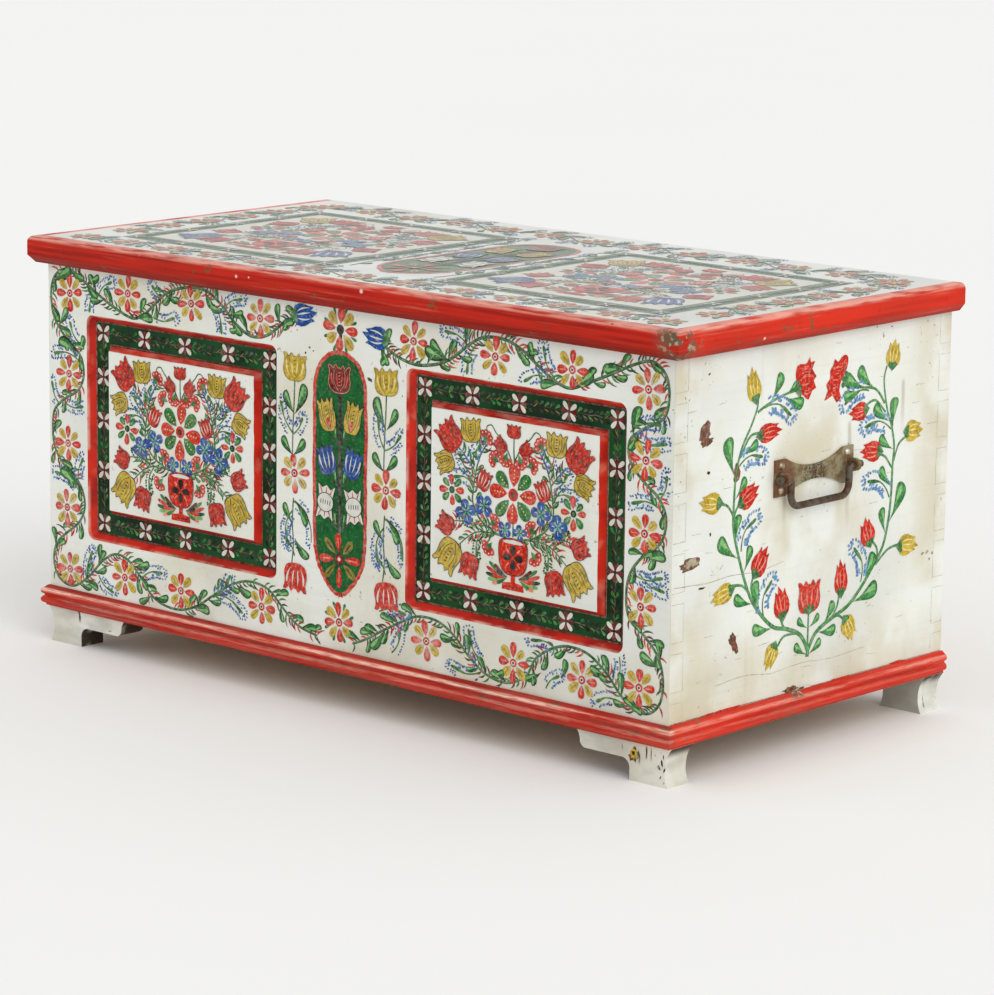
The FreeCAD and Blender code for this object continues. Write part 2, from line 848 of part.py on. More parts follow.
def lid_strap(name):
    leaf = place(new_body(f"{name}_leaf"), s.hinge_offset, back, upper_leaf[0])
    tip = s.strap_tip / 2
    plan = outline(leaf, f"{name}_plan", "XY_Plane", [
        (-half_strap, 0),
        (-tip, -s.strap_length),
        (tip, -s.strap_length, 0, -s.strap_length - tip),
        (half_strap, 0),
    ])
    grown("Pad", leaf, f"{name}_sheet", plan, s.strap_thickness)
    middle = about(s.hinge_offset, half_middle * 2)
    neck = box(f"{name}_neck", middle, (back, axis_y), upper_leaf)
    knuckle = hinge_rod(f"{name}_knuckle", s.knuckle_radius, -half_middle, half_middle * 2)
    return cut(name, fuse(f"{name}_forging", leaf, neck, knuckle), hinge_bore(f"{name}_bore"))


def case_strap(name):
    width = about(s.hinge_offset, s.strap_width)
    inner_face = inner_back - s.strap_thickness
    shelf = box(f"{name}_shelf", width, (inner_face, back), lower_leaf)
    leg = place(new_body(f"{name}_leg"), s.hinge_offset, inner_face, lower_leaf[1])
    round_start = -s.strap_leg + half_strap
    drop = outline(leg, f"{name}_drop", "XZ_Plane", [
        (half_strap, 0),
        (-half_strap, 0),
        (-half_strap, round_start),
        (half_strap, round_start, 0, -s.strap_leg),
    ])
    grown("Pad", leg, f"{name}_sheet", drop, s.strap_thickness, reverse=True)
    outer_length = half_strap - outer_start
    pieces = [shelf, leg]
    for label, start in (("right", outer_start), ("left", -half_strap)):
        low = s.hinge_offset + start
        neck_x = (low, low + outer_length)
        pieces.append(box(f"{name}_{label}_neck", neck_x, (back, axis_y), lower_leaf))
        pieces.append(hinge_rod(f"{name}_{label}_knuckle", s.knuckle_radius, start, outer_length))
    return cut(name, fuse(f"{name}_forging", *pieces), hinge_bore(f"{name}_bore"))


def hinge_pin(name):
    shank = hinge_rod(f"{name}_shank", s.hinge_pin_radius, -half_strap, s.strap_width)
    heads = [
        hinge_rod(f"{name}_{label}_head", s.hinge_pin_head_radius, start, s.hinge_pin_head)
        for label, start in (("right", half_strap), ("left", -half_strap - s.hinge_pin_head))
    ]
    return fuse(name, shank, *heads)


right_lid_strap = lid_strap("right_hinge_lid_strap")
left_lid_strap = mirrored("left_hinge_lid_strap", right_lid_strap)
right_case_strap = case_strap("right_hinge_case_strap")
left_case_strap = mirrored("left_hinge_case_strap", right_case_strap)
right_pin = hinge_pin("right_hinge_pin")
left_pin = mirrored("left_hinge_pin", right_pin)

# Lock: a plate with a bolt rail inside the front, a box over it, a key post and a sliding bolt

lock_top = rim - s.lock_drop
plate_back = inner_front + s.lock_plate
case_inside = plate_back + s.lock_case_depth - s.lock_wall
bolt_y = plate_back + (s.lock_case_depth - s.lock_wall) / 2
bolt_low = rim - s.staple_drop + s.staple_bar + s.bolt_lift
bolt_end = -s.staple_depth / 2 - s.bolt_gap
bolt_span = (bolt_end - s.bolt_length, bolt_end)
key_z = rim - s.keyhole_drop


def lock_plate(name):
    """The plate against the front board, with the key hole and the rail that carries the bolt."""
    body = place(new_body(f"{name}_sheet"), y=inner_front, z=key_z)
    across = about(0, s.lock_width)
    upright = (lock_top - s.lock_height - key_z, lock_top - key_z)
    face = outline(body, f"{name}_face", "XZ_Plane", rectangle(across, upright))
    grown("Pad", body, f"{name}_pad", face, s.lock_plate, reverse=True)
    hole = outline(body, f"{name}_keyhole", "XZ_Plane", keyhole(0))
    grown("Pocket", body, f"{name}_keyhole_cut", hole, s.lock_plate)
    rail_top = bolt_low - s.bolt_play
    rail = box(
        f"{name}_rail",
        about((bolt_span[0] + bolt_span[1]) / 2, s.rail_length),
        (plate_back, bolt_y + s.bolt_thickness / 2),
        (rail_top - s.rail_height, rail_top),
    )
    return fuse(name, body, rail)


def lock_case(name):
    """The box over the works, open towards the plate, with a slot on top for the staple."""
    low = lock_top - s.lock_height + s.lock_case_margin
    high = lock_top - s.lock_case_margin
    across = about(0, s.lock_case_width)
    shell = box(f"{name}_shell", across, (plate_back, plate_back + s.lock_case_depth), (low, high))
    hollow = box(
        f"{name}_hollow",
        (across[0] + s.lock_wall, across[1] - s.lock_wall),
        (plate_back, case_inside),
        (low + s.lock_wall, high - s.lock_wall),
    )
    slot = box(
        f"{name}_slot",
        about(0, s.staple_depth + s.staple_play * 2),
        about(bolt_y, s.staple_eye + (s.staple_bar + s.staple_play) * 2),
        (high - s.lock_wall, high),
    )
    return cut(name, shell, hollow, slot)


lock_plate("lock_plate")
lock_case("lock_case")
post_start = plate_back + s.key_post_inset
rod("lock_key_post", "y", s.key_post_radius, case_inside - post_start, 0, post_start, key_z)
bolt_bar = box("bolt_bar", bolt_span, about(bolt_y, s.bolt_thickness), (bolt_low, bolt_low + s.bolt_height))
talon_x = (bolt_span[0] + bolt_span[1]) / 2
talon_z = bolt_low - s.bolt_talon_radius / 2
talon_y = bolt_y - s.bolt_thickness / 2
talon = rod("bolt_talon", "y", s.bolt_talon_radius, s.bolt_thickness, talon_x, talon_y, talon_z)
cut("lock_bolt", bolt_bar, talon)


def lock_staple(name):
    """A plate under the lid with an eye that drops into the lock."""
    eye_y = about(bolt_y, s.staple_eye)
    across = about(0, s.staple_depth)
    low = rim - s.staple_drop
    plate_z = rim - s.staple_plate
    plate = box(
        f"{name}_plate",
        about(0, s.staple_plate_width),
        about(bolt_y, s.staple_plate_depth),
        (plate_z, rim),
    )
    tongue_y = (eye_y[0] - s.staple_bar, eye_y[1] + s.staple_bar)
    tongue = box(f"{name}_tongue", across, tongue_y, (low, plate_z))
    eye_top = bolt_low + s.bolt_height + s.bolt_lift
    eye = box(f"{name}_eye", across, eye_y, (low + s.staple_bar, eye_top))
    return fuse(name, plate, cut(f"{name}_loop", tongue, eye))


lock_staple("lock_staple")

# Open till across the left end, resting on two cleats

till_top = rim - s.till_drop
till_low = till_top - s.till_height
till_x = (-inner_side, -inner_side + s.till_width)
inner_depth = (inner_front, inner_back)
box("till_side", (till_x[1], till_x[1] + s.till_board), inner_depth, (till_low, till_top))
box("till_bottom", till_x, inner_depth, (till_low, till_low + s.till_board))
cleat_z = (till_low - s.cleat, till_low)
box("front_till_cleat", till_x, (inner_front, inner_front + s.cleat), cleat_z)
box("rear_till_cleat", till_x, (inner_back - s.cleat, inner_back), cleat_z)

NODES = (
    "front_board back_board left_side_board right_side_board left_front_panel right_front_panel "
    "front_bottom_plank middle_bottom_plank rear_bottom_plank "
    "front_base_moulding left_base_moulding right_base_moulding "
    "front_left_foot front_right_foot rear_left_foot rear_right_foot "
    "till_side till_bottom front_till_cleat rear_till_cleat "
    "left_handle_plate right_handle_plate left_handle_screws right_handle_screws left_bail right_bail "
    "front_lid_plank middle_lid_plank rear_lid_plank "
    "front_lid_moulding left_lid_moulding right_lid_moulding left_lid_batten right_lid_batten "
    "left_hinge_lid_strap right_hinge_lid_strap left_hinge_case_strap right_hinge_case_strap "
    "left_hinge_pin right_hinge_pin lock_plate lock_case lock_key_post lock_bolt lock_staple"
).split()


def check_and_write():
    """Recomputes the chest, stops on any failed object, and writes one file per piece."""
    doc.recompute()
    failed = [piece.Label for piece in doc.Objects if {"Invalid", "Error"} & set(piece.State)]
    if failed:
        raise SystemExit(f"failed objects: {failed}")
    os.makedirs("parts", exist_ok=True)
    for node in NODES:
        piece = doc.getObjectsByLabel(node)[0]
        if piece.Shape.isNull() or not piece.Shape.isValid():
            raise SystemExit(f"bad shape: {node}")
        piece.Shape.exportStep(f"parts/{node}.step")
        bounds = piece.Shape.BoundBox
        print(f"{node}: {len(piece.Shape.Solids)} solid(s), {piece.Shape.Volume / 1000:.1f} cm3, "
              f"x {bounds.XMin:.1f}..{bounds.XMax:.1f}, y {bounds.YMin:.1f}..{bounds.YMax:.1f}, "
              f"z {bounds.ZMin:.1f}..{bounds.ZMax:.1f}")


check_and_write()
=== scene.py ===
# %% [markdown]
# # A painted dowry chest
# The wood and iron of the chest come from CAD as a fixed frame, and nothing here moves them. This script
# gives them their aged paint and rust, and lays the flower painting over them stroke by stroke, the way the
# painter worked. Places on a painted face are in millimetres across it and up it.

# %% Load the frame
import math
import random

import bpy
from mathutils import Matrix, Vector


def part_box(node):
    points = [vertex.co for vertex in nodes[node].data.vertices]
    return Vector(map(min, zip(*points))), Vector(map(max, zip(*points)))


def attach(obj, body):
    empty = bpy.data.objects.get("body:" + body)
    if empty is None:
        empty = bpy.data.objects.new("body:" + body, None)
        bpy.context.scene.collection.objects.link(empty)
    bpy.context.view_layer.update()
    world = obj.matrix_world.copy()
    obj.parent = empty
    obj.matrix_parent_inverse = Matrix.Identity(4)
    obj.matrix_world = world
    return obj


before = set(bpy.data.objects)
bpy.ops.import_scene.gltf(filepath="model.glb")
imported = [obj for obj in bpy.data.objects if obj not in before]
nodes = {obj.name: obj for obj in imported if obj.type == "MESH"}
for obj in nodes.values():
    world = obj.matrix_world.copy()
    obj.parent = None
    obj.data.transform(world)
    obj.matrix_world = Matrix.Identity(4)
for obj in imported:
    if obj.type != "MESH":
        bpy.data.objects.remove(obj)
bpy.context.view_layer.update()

# %% [markdown]
# ## Where the faces are
# Paint and wear are placed by the faces of the chest: its front, its sides, its lid, and the three levels
# of a fielded panel. They could be typed in, but here they are read from the boxes of the CAD pieces, so
# that paint always lies on wood. One seeded chance serves all freehand strokes, so the chest comes out the
# same each time.

# %% Measure the faces
MM = 0.001
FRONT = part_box("front_board")[0].y
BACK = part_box("back_board")[1].y
MIDDLE = (FRONT + BACK) / 2
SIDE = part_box("right_side_board")[1].x
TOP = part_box("front_lid_plank")[1].z
panel_low, panel_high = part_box("right_front_panel")
PANEL_X = (panel_low.x + panel_high.x) / 2
PANEL_Z = (panel_low.z + panel_high.z) / 2
FIELD_RAISE = 10.5 * MM
FIELD = panel_low.y
BAND = FIELD + FIELD_RAISE
chance = random.Random(11)
print("front, side and top at", *(round(face / MM) for face in (FRONT, SIDE, TOP)), "mm")

# %% [markdown]
# ## Finishes
# Every finish is a procedural material. Old paint is never one colour: it is thin in places, streaked by
# the brush, stained and chipped. Noise in the object's own coordinates makes these, so they stay put on the
# wood. Nodes take many lines to set up in code, so two small classes give the needed ones short names.


# %% Colours as a screen shows them
def srgb(red, green, blue):
    """A colour as a screen shows it, in the linear numbers that the shader takes."""
    levels = (level / 255 for level in (red, green, blue))
    return (*(((v + 0.055) / 1.055) ** 2.4 if v > 0.04045 else v / 12.92 for v in levels), 1.0)


print("a middle grey of 128 is", round(srgb(128, 128, 128)[0], 3), "to the shader")


# %% Short words for sums
class Sums:
    """A node material, where a point of it lies, and short words for the nodes that reckon with that."""

    def __init__(self, name):
        self.material = bpy.data.materials.new(name)
        self.material.use_nodes = True
        self.nodes = self.material.node_tree.nodes
        self.links = self.material.node_tree.links
        self.place = self.nodes.new("ShaderNodeTexCoord").outputs["Object"]
        self.x, self.y, self.z = self.parts(self.place)

    def parts(self, direction):
        """The x, y and z of a place or a direction."""
        axes = self.nodes.new("ShaderNodeSeparateXYZ")
        self.links.new(direction, axes.inputs[0])
        return axes.outputs

    def facing(self):
        """The x, y and z of the way that the surface looks."""
        return self.parts(self.nodes.new("ShaderNodeNewGeometry").outputs["Normal"])

    def feed(self, socket, value):
        if isinstance(value, bpy.types.NodeSocket):
            self.links.new(value, socket)
        else:
            socket.default_value = value

    def sum(self, operation, first, second=0.0):
        node = self.nodes.new("ShaderNodeMath")
        node.operation = operation
        self.feed(node.inputs[0], first)
        self.feed(node.inputs[1], second)
        return node.outputs[0]

    def times(self, share, *others):
        for other in others:
            share = self.sum("MULTIPLY", share, other)
        return share

    def most(self, share, *others):
        for other in others:
            share = self.sum("MAXIMUM", share, other)
        return share

    def off(self, value, middle):
        """How far a value is from a middle, either way."""
        return self.sum("ABSOLUTE", self.sum("SUBTRACT", value, middle))

    def step(self, value, low, high):
        """From 0 at low to 1 at high, smoothly; low may be the larger."""
        node = self.nodes.new("ShaderNodeMapRange")
        node.interpolation_type = "SMOOTHSTEP"
        self.feed(node.inputs["Value"], value)
        node.inputs["From Min"].default_value = low
        node.inputs["From Max"].default_value = high
        return node.outputs["Result"]

    def belt(self, low, full, still, high):
        """1 between the heights full and still, fading to 0 at low and high, in millimetres."""
        return self.times(self.step(self.z, low * MM, full * MM), self.step(self.z, high * MM, still * MM))


# %% Short words for patterns and colours
class Finish(Sums):
    """Patterns and colours made with those sums, and the shader that takes them."""

    bump_strength = 0.6
    colour_a, colour_b, colour_out = 6, 7, 2

    def __init__(self, name, roughness, metallic=0.0, specular=0.22):
        super().__init__(name)
        self.shader = self.nodes["Principled BSDF"]
        self.shader.inputs["Roughness"].default_value = roughness
        self.shader.inputs["Metallic"].default_value = metallic
        self.shader.inputs["Specular IOR Level"].default_value = specular

    def noise(self, scale, stretch=(1, 1, 1), detail=3.0):
        """Cloudy noise with about scale lumps in a metre, more along an axis that is stretched."""
        mapping = self.nodes.new("ShaderNodeMapping")
        mapping.inputs["Scale"].default_value = stretch
        self.links.new(self.place, mapping.inputs["Vector"])
        node = self.nodes.new("ShaderNodeTexNoise")
        node.inputs["Scale"].default_value = scale
        node.inputs["Detail"].default_value = detail
        self.links.new(mapping.outputs["Vector"], node.inputs["Vector"])
        return node.outputs["Fac"]

    def patches(self, scale, low, high, share=None, stretch=(1, 1, 1), detail=3.0):
        """Patches where the noise is above low, full where it is above high, as strong as the share."""
        patch = self.step(self.noise(scale, stretch, detail), low, high)
        return patch if share is None else self.times(patch, share)

    def near(self, point, radius, core=0.3):
        """0 from the radius of a point on, and 1 in the core, a share of that radius."""
        node = self.nodes.new("ShaderNodeVectorMath")
        node.operation = "DISTANCE"
        self.links.new(self.place, node.inputs[0])
        node.inputs[1].default_value = point
        return self.step(node.outputs["Value"], radius, radius * core)

    def knots(self, scale, radius, core=0.5):
        """1 in the heart of scattered round spots, about scale of them along a metre."""
        node = self.nodes.new("ShaderNodeTexVoronoi")
        node.inputs["Scale"].default_value = scale
        self.links.new(self.place, node.inputs["Vector"])
        return self.step(node.outputs["Distance"], radius, radius * core)

    def mix(self, share, first, second):
        node = self.nodes.new("ShaderNodeMix")
        node.data_type = "RGBA"
        self.feed(node.inputs[0], share)
        self.feed(node.inputs[self.colour_a], first)
        self.feed(node.inputs[self.colour_b], second)
        return node.outputs[self.colour_out]

    def done(self, colour, relief=None, height=0.0):
        self.feed(self.shader.inputs["Base Color"], colour)
        if relief is not None:
            bump = self.nodes.new("ShaderNodeBump")
            bump.inputs["Strength"].default_value = self.bump_strength
            bump.inputs["Distance"].default_value = height
            self.links.new(relief, bump.inputs["Height"])
            self.links.new(bump.outputs["Normal"], self.shader.inputs["Normal"])
        return self.material


print("short words:", ", ".join(word for word in dir(Finish) if word[0] != "_"))


# %% Dress a piece
def dress(material, *names):
    """Gives CAD nodes a finish."""
    for name in names:
        if not nodes[name].material_slots:
            nodes[name].data.materials.append(material)
        for slot in nodes[name].material_slots:
            slot.material = material
    print(material.name, "on", ", ".join(names))


# %% [markdown]
# ### White house paint
# The case was brushed with a chalky white that has yellowed in stains and greyed in clouds. The brush left
# faint streaks along the boards and up them, water splashed the foot of the walls, and damp left specks. A
# picture of old paint could be laid on, but noise needs no picture: each kind of stain is one layer of it,
# mixed over the last.

# %% Coat of white
CHALK = srgb(232, 234, 226)
YELLOWED = srgb(212, 204, 176)
GREYED = srgb(190, 192, 186)
STREAKED = srgb(180, 182, 172)
BRUSHED_UP = srgb(186, 184, 170)
SPLASHED = srgb(190, 180, 150)
SPECKED = srgb(118, 102, 80)
SPLASH_TOP, SPLASH_FULL = 170 * MM, 60 * MM


def aged_white(f):
    colour = f.mix(f.patches(5.0, 0.45, 0.72, 0.66, detail=6.0), CHALK, YELLOWED)
    colour = f.mix(f.patches(3.4, 0.48, 0.7, 0.34, detail=6.0), colour, GREYED)
    colour = f.mix(f.patches(1.0, 0.5, 0.76, 0.1, (5, 5, 150), 5.0), colour, STREAKED)
    colour = f.mix(f.patches(1.0, 0.52, 0.76, 0.06, (90, 90, 5), 5.0), colour, BRUSHED_UP)
    splash = f.times(f.step(f.z, SPLASH_TOP, SPLASH_FULL), f.patches(14.0, 0.34, 0.7, detail=5.0), 0.5)
    colour = f.mix(splash, colour, SPLASHED)
    speck = f.times(f.patches(150.0, 0.68, 0.74, detail=2.0), f.patches(9.0, 0.46, 0.64), 0.85)
    return f.mix(speck, colour, SPECKED)


print("white is splashed up to", round(SPLASH_TOP / MM), "mm above the floor")

# %% [markdown]
# ### Hand dirt and rust
# On the sides hands have soiled the white round the handles and along the upright edges, and rust has run
# down in thin lines. The dirt is the same white with a darker mix, and the distance from handle and edge
# says where.

# %% Dirt of the sides
GRIP_HIGH, GRIP_REACH = 325 * MM, 170 * MM
SOILED = srgb(202, 191, 158)
DRIPPED = srgb(178, 170, 144)
RUSTED = srgb(150, 128, 92)
RUST_RUNS = [(66, 260, 400), (-72, 270, 345), (176, 360, 440)]


def rust_run(f, off_middle, across, low, high):
    """A thin wandering line from high to low, a little nearer to the middle of a side than across."""
    beside = f.off(off_middle, f.times(f.noise(9.0), 12 * MM))
    line = f.step(f.off(beside, (abs(across) - 6) * MM), 6 * MM, 1 * MM)
    this_half = f.step(f.times(off_middle, math.copysign(1, across)), 0.0, 10 * MM)
    return f.times(line, this_half, f.belt(low, low + 70, high, high + 10))


def handled_white(f, on_side):
    grips = f.most(*(f.near((x, MIDDLE, GRIP_HIGH), GRIP_REACH) for x in (SIDE, -SIDE)))
    off_middle = f.sum("SUBTRACT", f.y, MIDDLE)
    edges = f.step(f.sum("ABSOLUTE", off_middle), 160 * MM, 260 * MM)
    touched = f.most(grips, f.most(edges, f.times(f.step(f.z, 200 * MM, 100 * MM), 0.7)))
    touched = f.times(touched, f.patches(11.0, 0.42, 0.62, stretch=(1, 1, 0.8), detail=8.0))
    colour = f.mix(f.times(touched, on_side, 0.68), aged_white(f), SOILED)
    drip = f.times(f.patches(1.0, 0.58, 0.72, stretch=(60, 60, 3)), f.patches(4.0, 0.44, 0.64))
    colour = f.mix(f.times(drip, on_side, 0.16), colour, DRIPPED)
    for across, low, high in RUST_RUNS:
        colour = f.mix(f.times(rust_run(f, off_middle, across, low, high), on_side, 0.42), colour, RUSTED)
    return colour


print(len(RUST_RUNS), "runs of rust on each side")

# %% [markdown]
# ### Red house paint
# Mouldings and bevels are red, put on in long streaks, faded pale in places, dusky in others and chipped to
# the wood. The streaks run along a moulding, so the noise is stretched; on the short bevels it is the same
# all ways.

# %% Coat of red
DEEP_RED = srgb(160, 24, 12)
BRIGHT_RED = srgb(210, 42, 22)
FADED_RED = srgb(236, 142, 116)
DUSKY_RED = srgb(146, 40, 24)
CHIPPED = srgb(112, 80, 54)
ALONG_MOULDING, ALL_WAYS = (6, 6, 190), (24, 24, 24)


def worn_red(f, run=ALONG_MOULDING):
    colour = f.mix(f.patches(1.0, 0.3, 0.6, stretch=run, detail=5.0), DEEP_RED, BRIGHT_RED)
    colour = f.mix(f.patches(1.3, 0.56, 0.76, 0.5, run, 5.0), colour, FADED_RED)
    colour = f.mix(f.patches(6.0, 0.46, 0.7, 0.4, detail=6.0), colour, DUSKY_RED)
    chip = f.times(f.patches(34.0, 0.63, 0.67, stretch=(1, 1, 2.4), detail=6.0), f.patches(5.0, 0.5, 0.6))
    return f.mix(chip, colour, CHIPPED)


print("red streaks run", ALONG_MOULDING)

# %% [markdown]
# ### Bare pine
# The inside and the back were never painted: they are bare, darkened pine. Its year rings are a sine of
# stretched noise, which gives the long arches of a sawn board, and fine noise along the grain gives the
# fibres.

# %% Bare wood
PINE = srgb(198, 162, 114)
PINE_RING = srgb(158, 114, 70)
PINE_FIBRE = srgb(128, 90, 56)
PINE_DULLED = srgb(134, 108, 80)
PINE_KNOT = srgb(84, 50, 30)
GRAINS = {"x": ((0.6, 11, 11), (14, 420, 420)), "y": ((11, 0.6, 11), (420, 14, 420))}
RING_COUNT = 130.0


def bare_pine(f, grain):
    """Rings drawn out along the grain, in arches where the saw ran level with them, with fibres and knots."""
    ring_way, fibre_way = GRAINS[grain]
    rings = f.sum("SINE", f.times(f.noise(1.0, ring_way, 1.5), RING_COUNT))
    colour = f.mix(f.times(f.step(rings, 0.0, 0.95), 0.8), PINE, PINE_RING)
    colour = f.mix(f.patches(1.0, 0.42, 0.68, 0.36, fibre_way), colour, PINE_FIBRE)
    colour = f.mix(f.patches(3.0, 0.42, 0.72, 0.4, detail=4.0), colour, PINE_DULLED)
    return f.mix(f.knots(5.0, 0.08), colour, PINE_KNOT)


print("pine with its grain along", " or ".join(GRAINS))

# %% [markdown]
# ### The case boards
# One material serves all four walls, because paint stops where the painter stopped: the outer faces are
# white, the sunk lips of the two windows are red, and all the rest is bare. The place of a point decides.

# %% Dress the case boards
SKIN = 0.6 * MM
ARRIS_RUBBED_AND_LIT = srgb(230, 178, 160)
BRUSH_LINES, BRUSH_HEIGHT = (9, 9, 240), 0.4 * MM


def window_lips(f):
    """1 on the slopes of the windows: between front and band, away from key hole and edges."""
    in_lip = f.times(f.step(f.y, FRONT + SKIN, FRONT + SKIN * 1.5), f.step(f.y, BAND + SKIN * 3, BAND + SKIN))
    off_key = f.step(f.sum("ABSOLUTE", f.x), 50 * MM, 60 * MM)
    off_corner = f.step(f.sum("ABSOLUTE", f.x), SIDE - 30 * MM, SIDE - 40 * MM)
    window = f.belt(*(PANEL_Z / MM + off for off in (-170, -165, 165, 170)))
    return f.times(in_lip, off_key, off_corner, window)


def wall(name, grain):
    f = Finish(name, 0.5)
    on_front = f.step(f.y, FRONT + SKIN * 2, FRONT + SKIN)
    on_side = f.step(f.sum("ABSOLUTE", f.x), SIDE - SKIN * 2, SIDE - SKIN)
    painted = f.most(on_front, on_side)
    colour = f.mix(painted, bare_pine(f, grain), handled_white(f, on_side))
    # The outer arris of the window lips is mixed pale: partly rubbed wear, partly a painted highlight where
    # the edge catches the light.
    arris = f.step(f.y, FRONT + 5 * MM, FRONT + 1.5 * MM)
    arris = f.times(arris, f.patches(26.0, 0.42, 0.6, detail=6.0), 0.8)
    red = f.mix(arris, worn_red(f, ALL_WAYS), ARRIS_RUBBED_AND_LIT)
    return f.done(f.mix(window_lips(f), colour, red), f.noise(1.0, BRUSH_LINES, 4.0), BRUSH_HEIGHT)


dress(wall("painted_wall_long", "x"), "front_board", "back_board")
dress(wall("painted_wall_short", "y"), "left_side_board", "right_side_board")

# %% [markdown]
# ### The fielded panels
# Each panel stands in its window: a flat green band, a red slope, and a white field for the bouquet. The
# depth of a point behind the front tells which of the three it is on, and a little noise added to that
# depth makes the edge between slope and field waver as a hand-drawn one does.

# %% Dress the panels
BAND_DARK = srgb(4, 40, 16)
BAND_GREEN = srgb(18, 84, 36)
SLOPE_RUBBED_AND_LIT = srgb(222, 150, 132)
WAVER = 2.2 * MM


def panel_finish():
    f = Finish("painted_panel", 0.5, specular=0.12)
    depth = f.sum("ADD", f.y, f.times(f.sum("SUBTRACT", f.noise(40.0), 0.5), WAVER))
    green = f.mix(f.patches(14.0, 0.35, 0.7, detail=5.0), BAND_DARK, BAND_GREEN)
    # The upper slope is mixed pale: partly rubbed wear, partly a painted highlight where it faces up to the
    # light.
    upper = f.step(f.z, PANEL_Z + 100 * MM, PANEL_Z + 110 * MM)
    upper = f.times(upper, f.patches(1.0, 0.34, 0.7, stretch=(30, 30, 160), detail=6.0), 0.5)
    slope = f.mix(upper, worn_red(f, ALL_WAYS), SLOPE_RUBBED_AND_LIT)
    colour = f.mix(f.step(depth, FIELD + 0.9 * MM, FIELD + 1.3 * MM), aged_white(f), slope)
    colour = f.mix(f.step(f.y, BAND - 0.5 * MM, BAND - 0.2 * MM), colour, green)
    colour = f.mix(f.step(f.y, BAND + 1 * MM, BAND + 2 * MM), colour, bare_pine(f, "x"))
    return f.done(colour, f.noise(1.0, BRUSH_LINES, 4.0), BRUSH_HEIGHT)


dress(panel_finish(), "left_front_panel", "right_front_panel")

# %% [markdown]
# ### The lid's planks
# The lid is white on top and bare below. It was varnished over its painting and still shines at a low
# angle, so it has a smoother, brighter surface than the walls. The same two values serve the paints that
# lie on it.

# %% Dress the lid
VARNISH_ROUGHNESS, VARNISH_SPECULAR = 0.28, 0.86
LID_GREYED = srgb(190, 196, 192)


def lid_finish():
    f = Finish("painted_lid", VARNISH_ROUGHNESS, specular=VARNISH_SPECULAR)
    white = f.mix(f.patches(9.0, 0.4, 0.7, 0.4, detail=5.0), aged_white(f), LID_GREYED)
    colour = f.mix(f.step(f.z, TOP - 1.2 * MM, TOP - 0.6 * MM), bare_pine(f, "x"), white)
    return f.done(colour, f.noise(1.0, (9, 240, 9), 4.0), 0.3 * MM)


dress(lid_finish(), "front_lid_plank", "middle_lid_plank", "rear_lid_plank")

# %% [markdown]
# ### Wear, painted highlights and painted shade of the mouldings
# The lid's edge and the base are red mouldings. The tops of the base's two rolls are pale, partly rubbed and
# partly a painted highlight where they face up to the light, with threads of bare wood, and the slope above
# them is darker in front. The lid's edge is pale along its top, again part wear and part painted highlight,
# with painted shade on its under part and darker patches at its foot. Each line is a belt between two
# heights, broken up by noise that is drawn out along the moulding.

# %% Rolls pale and undersides dark: wear, painted highlight and painted shade
UPPER_ROLL, LOWER_ROLL = (68.5, 71.5, 73, 75.5), (57.5, 60.5, 62, 64)
LID_SHADE, LID_UNDERSIDE = (500, 510, 528, 544), (500, 510, 524, 531)
ROUND_THE_SIDES = 0.45


def moulding_red(f, in_front):
    """Red painted brighter on the sides and deeper in front: painted light on the sides, painted shade in
    front.
    """
    bright = f.mix(0.35, worn_red(f), srgb(230, 54, 26))
    deep = f.mix(0.25, worn_red(f), srgb(140, 20, 10))
    return f.mix(in_front, bright, deep)


def worn_and_lit_base(f, colour, in_front, ahead):
    """Pale rolls, part wear and part painted highlight, threads of bare wood, and a darker slope in front."""
    base = f.step(f.z, 100 * MM, 90 * MM)
    upper, lower = f.belt(*UPPER_ROLL), f.belt(*LOWER_ROLL)
    # The rolls' tops are mixed pale: partly rubbed wear, partly a painted highlight where they face up to the
    # light.
    rolls = f.most(upper, f.times(lower, 0.32), 0.08)
    ridge = f.times(f.patches(1.0, 0.34, 0.56, stretch=(8, 8, 200), detail=8.0), rolls)
    ridge = f.times(ridge, f.patches(1.0, 0.2, 0.6, stretch=(50, 50, 800), detail=6.0))
    colour = f.mix(f.times(ridge, f.times(base, ahead), 0.92), colour, srgb(250, 204, 184))
    thread = f.times(f.patches(1.3, 0.58, 0.66, stretch=(24, 24, 420), detail=8.0), f.most(upper, 0.3))
    colour = f.mix(f.times(thread, f.times(base, ahead), 0.6), colour, srgb(186, 138, 92))
    slope = f.times(f.step(f.z, 74 * MM, 76.5 * MM), base, in_front, 0.5)
    return f.mix(slope, colour, srgb(132, 36, 22))


def lid_edge_wear_and_light(f, colour, ahead):
    """Painted shade on the under part, a pale top edge of wear and painted highlight, and darker at its foot.
    """
    colour = f.mix(f.times(f.belt(*LID_SHADE), ahead, 0.5), colour, srgb(92, 22, 12))
    # The pale top edge is partly rubbed wear and partly a painted highlight along the rounded arris.
    top_edge = f.step(f.z, TOP - 7 * MM, TOP - 2 * MM)
    top_edge = f.times(top_edge, f.patches(1.0, 0.3, 0.6, stretch=(18, 18, 300), detail=6.0), 0.62)
    colour = f.mix(top_edge, colour, srgb(250, 196, 176))
    # Darker patches at the foot of the edge and under it.
    dirt = f.times(f.belt(*LID_UNDERSIDE), f.patches(14.0, 0.4, 0.6, detail=5.0), 0.6)
    return f.mix(dirt, colour, srgb(112, 48, 32))


print("pale rolls at", UPPER_ROLL[1], "and", LOWER_ROLL[1], "mm above the floor")

# %% [markdown]
# ### Knocks
# The near corner of the lid is rubbed to dark wood where it is knocked most, and so are three places on the
# right base moulding. Smaller knocks and pale specks were placed one by one. A distance from a point makes
# a round spot, and fine noise makes its edge ragged.

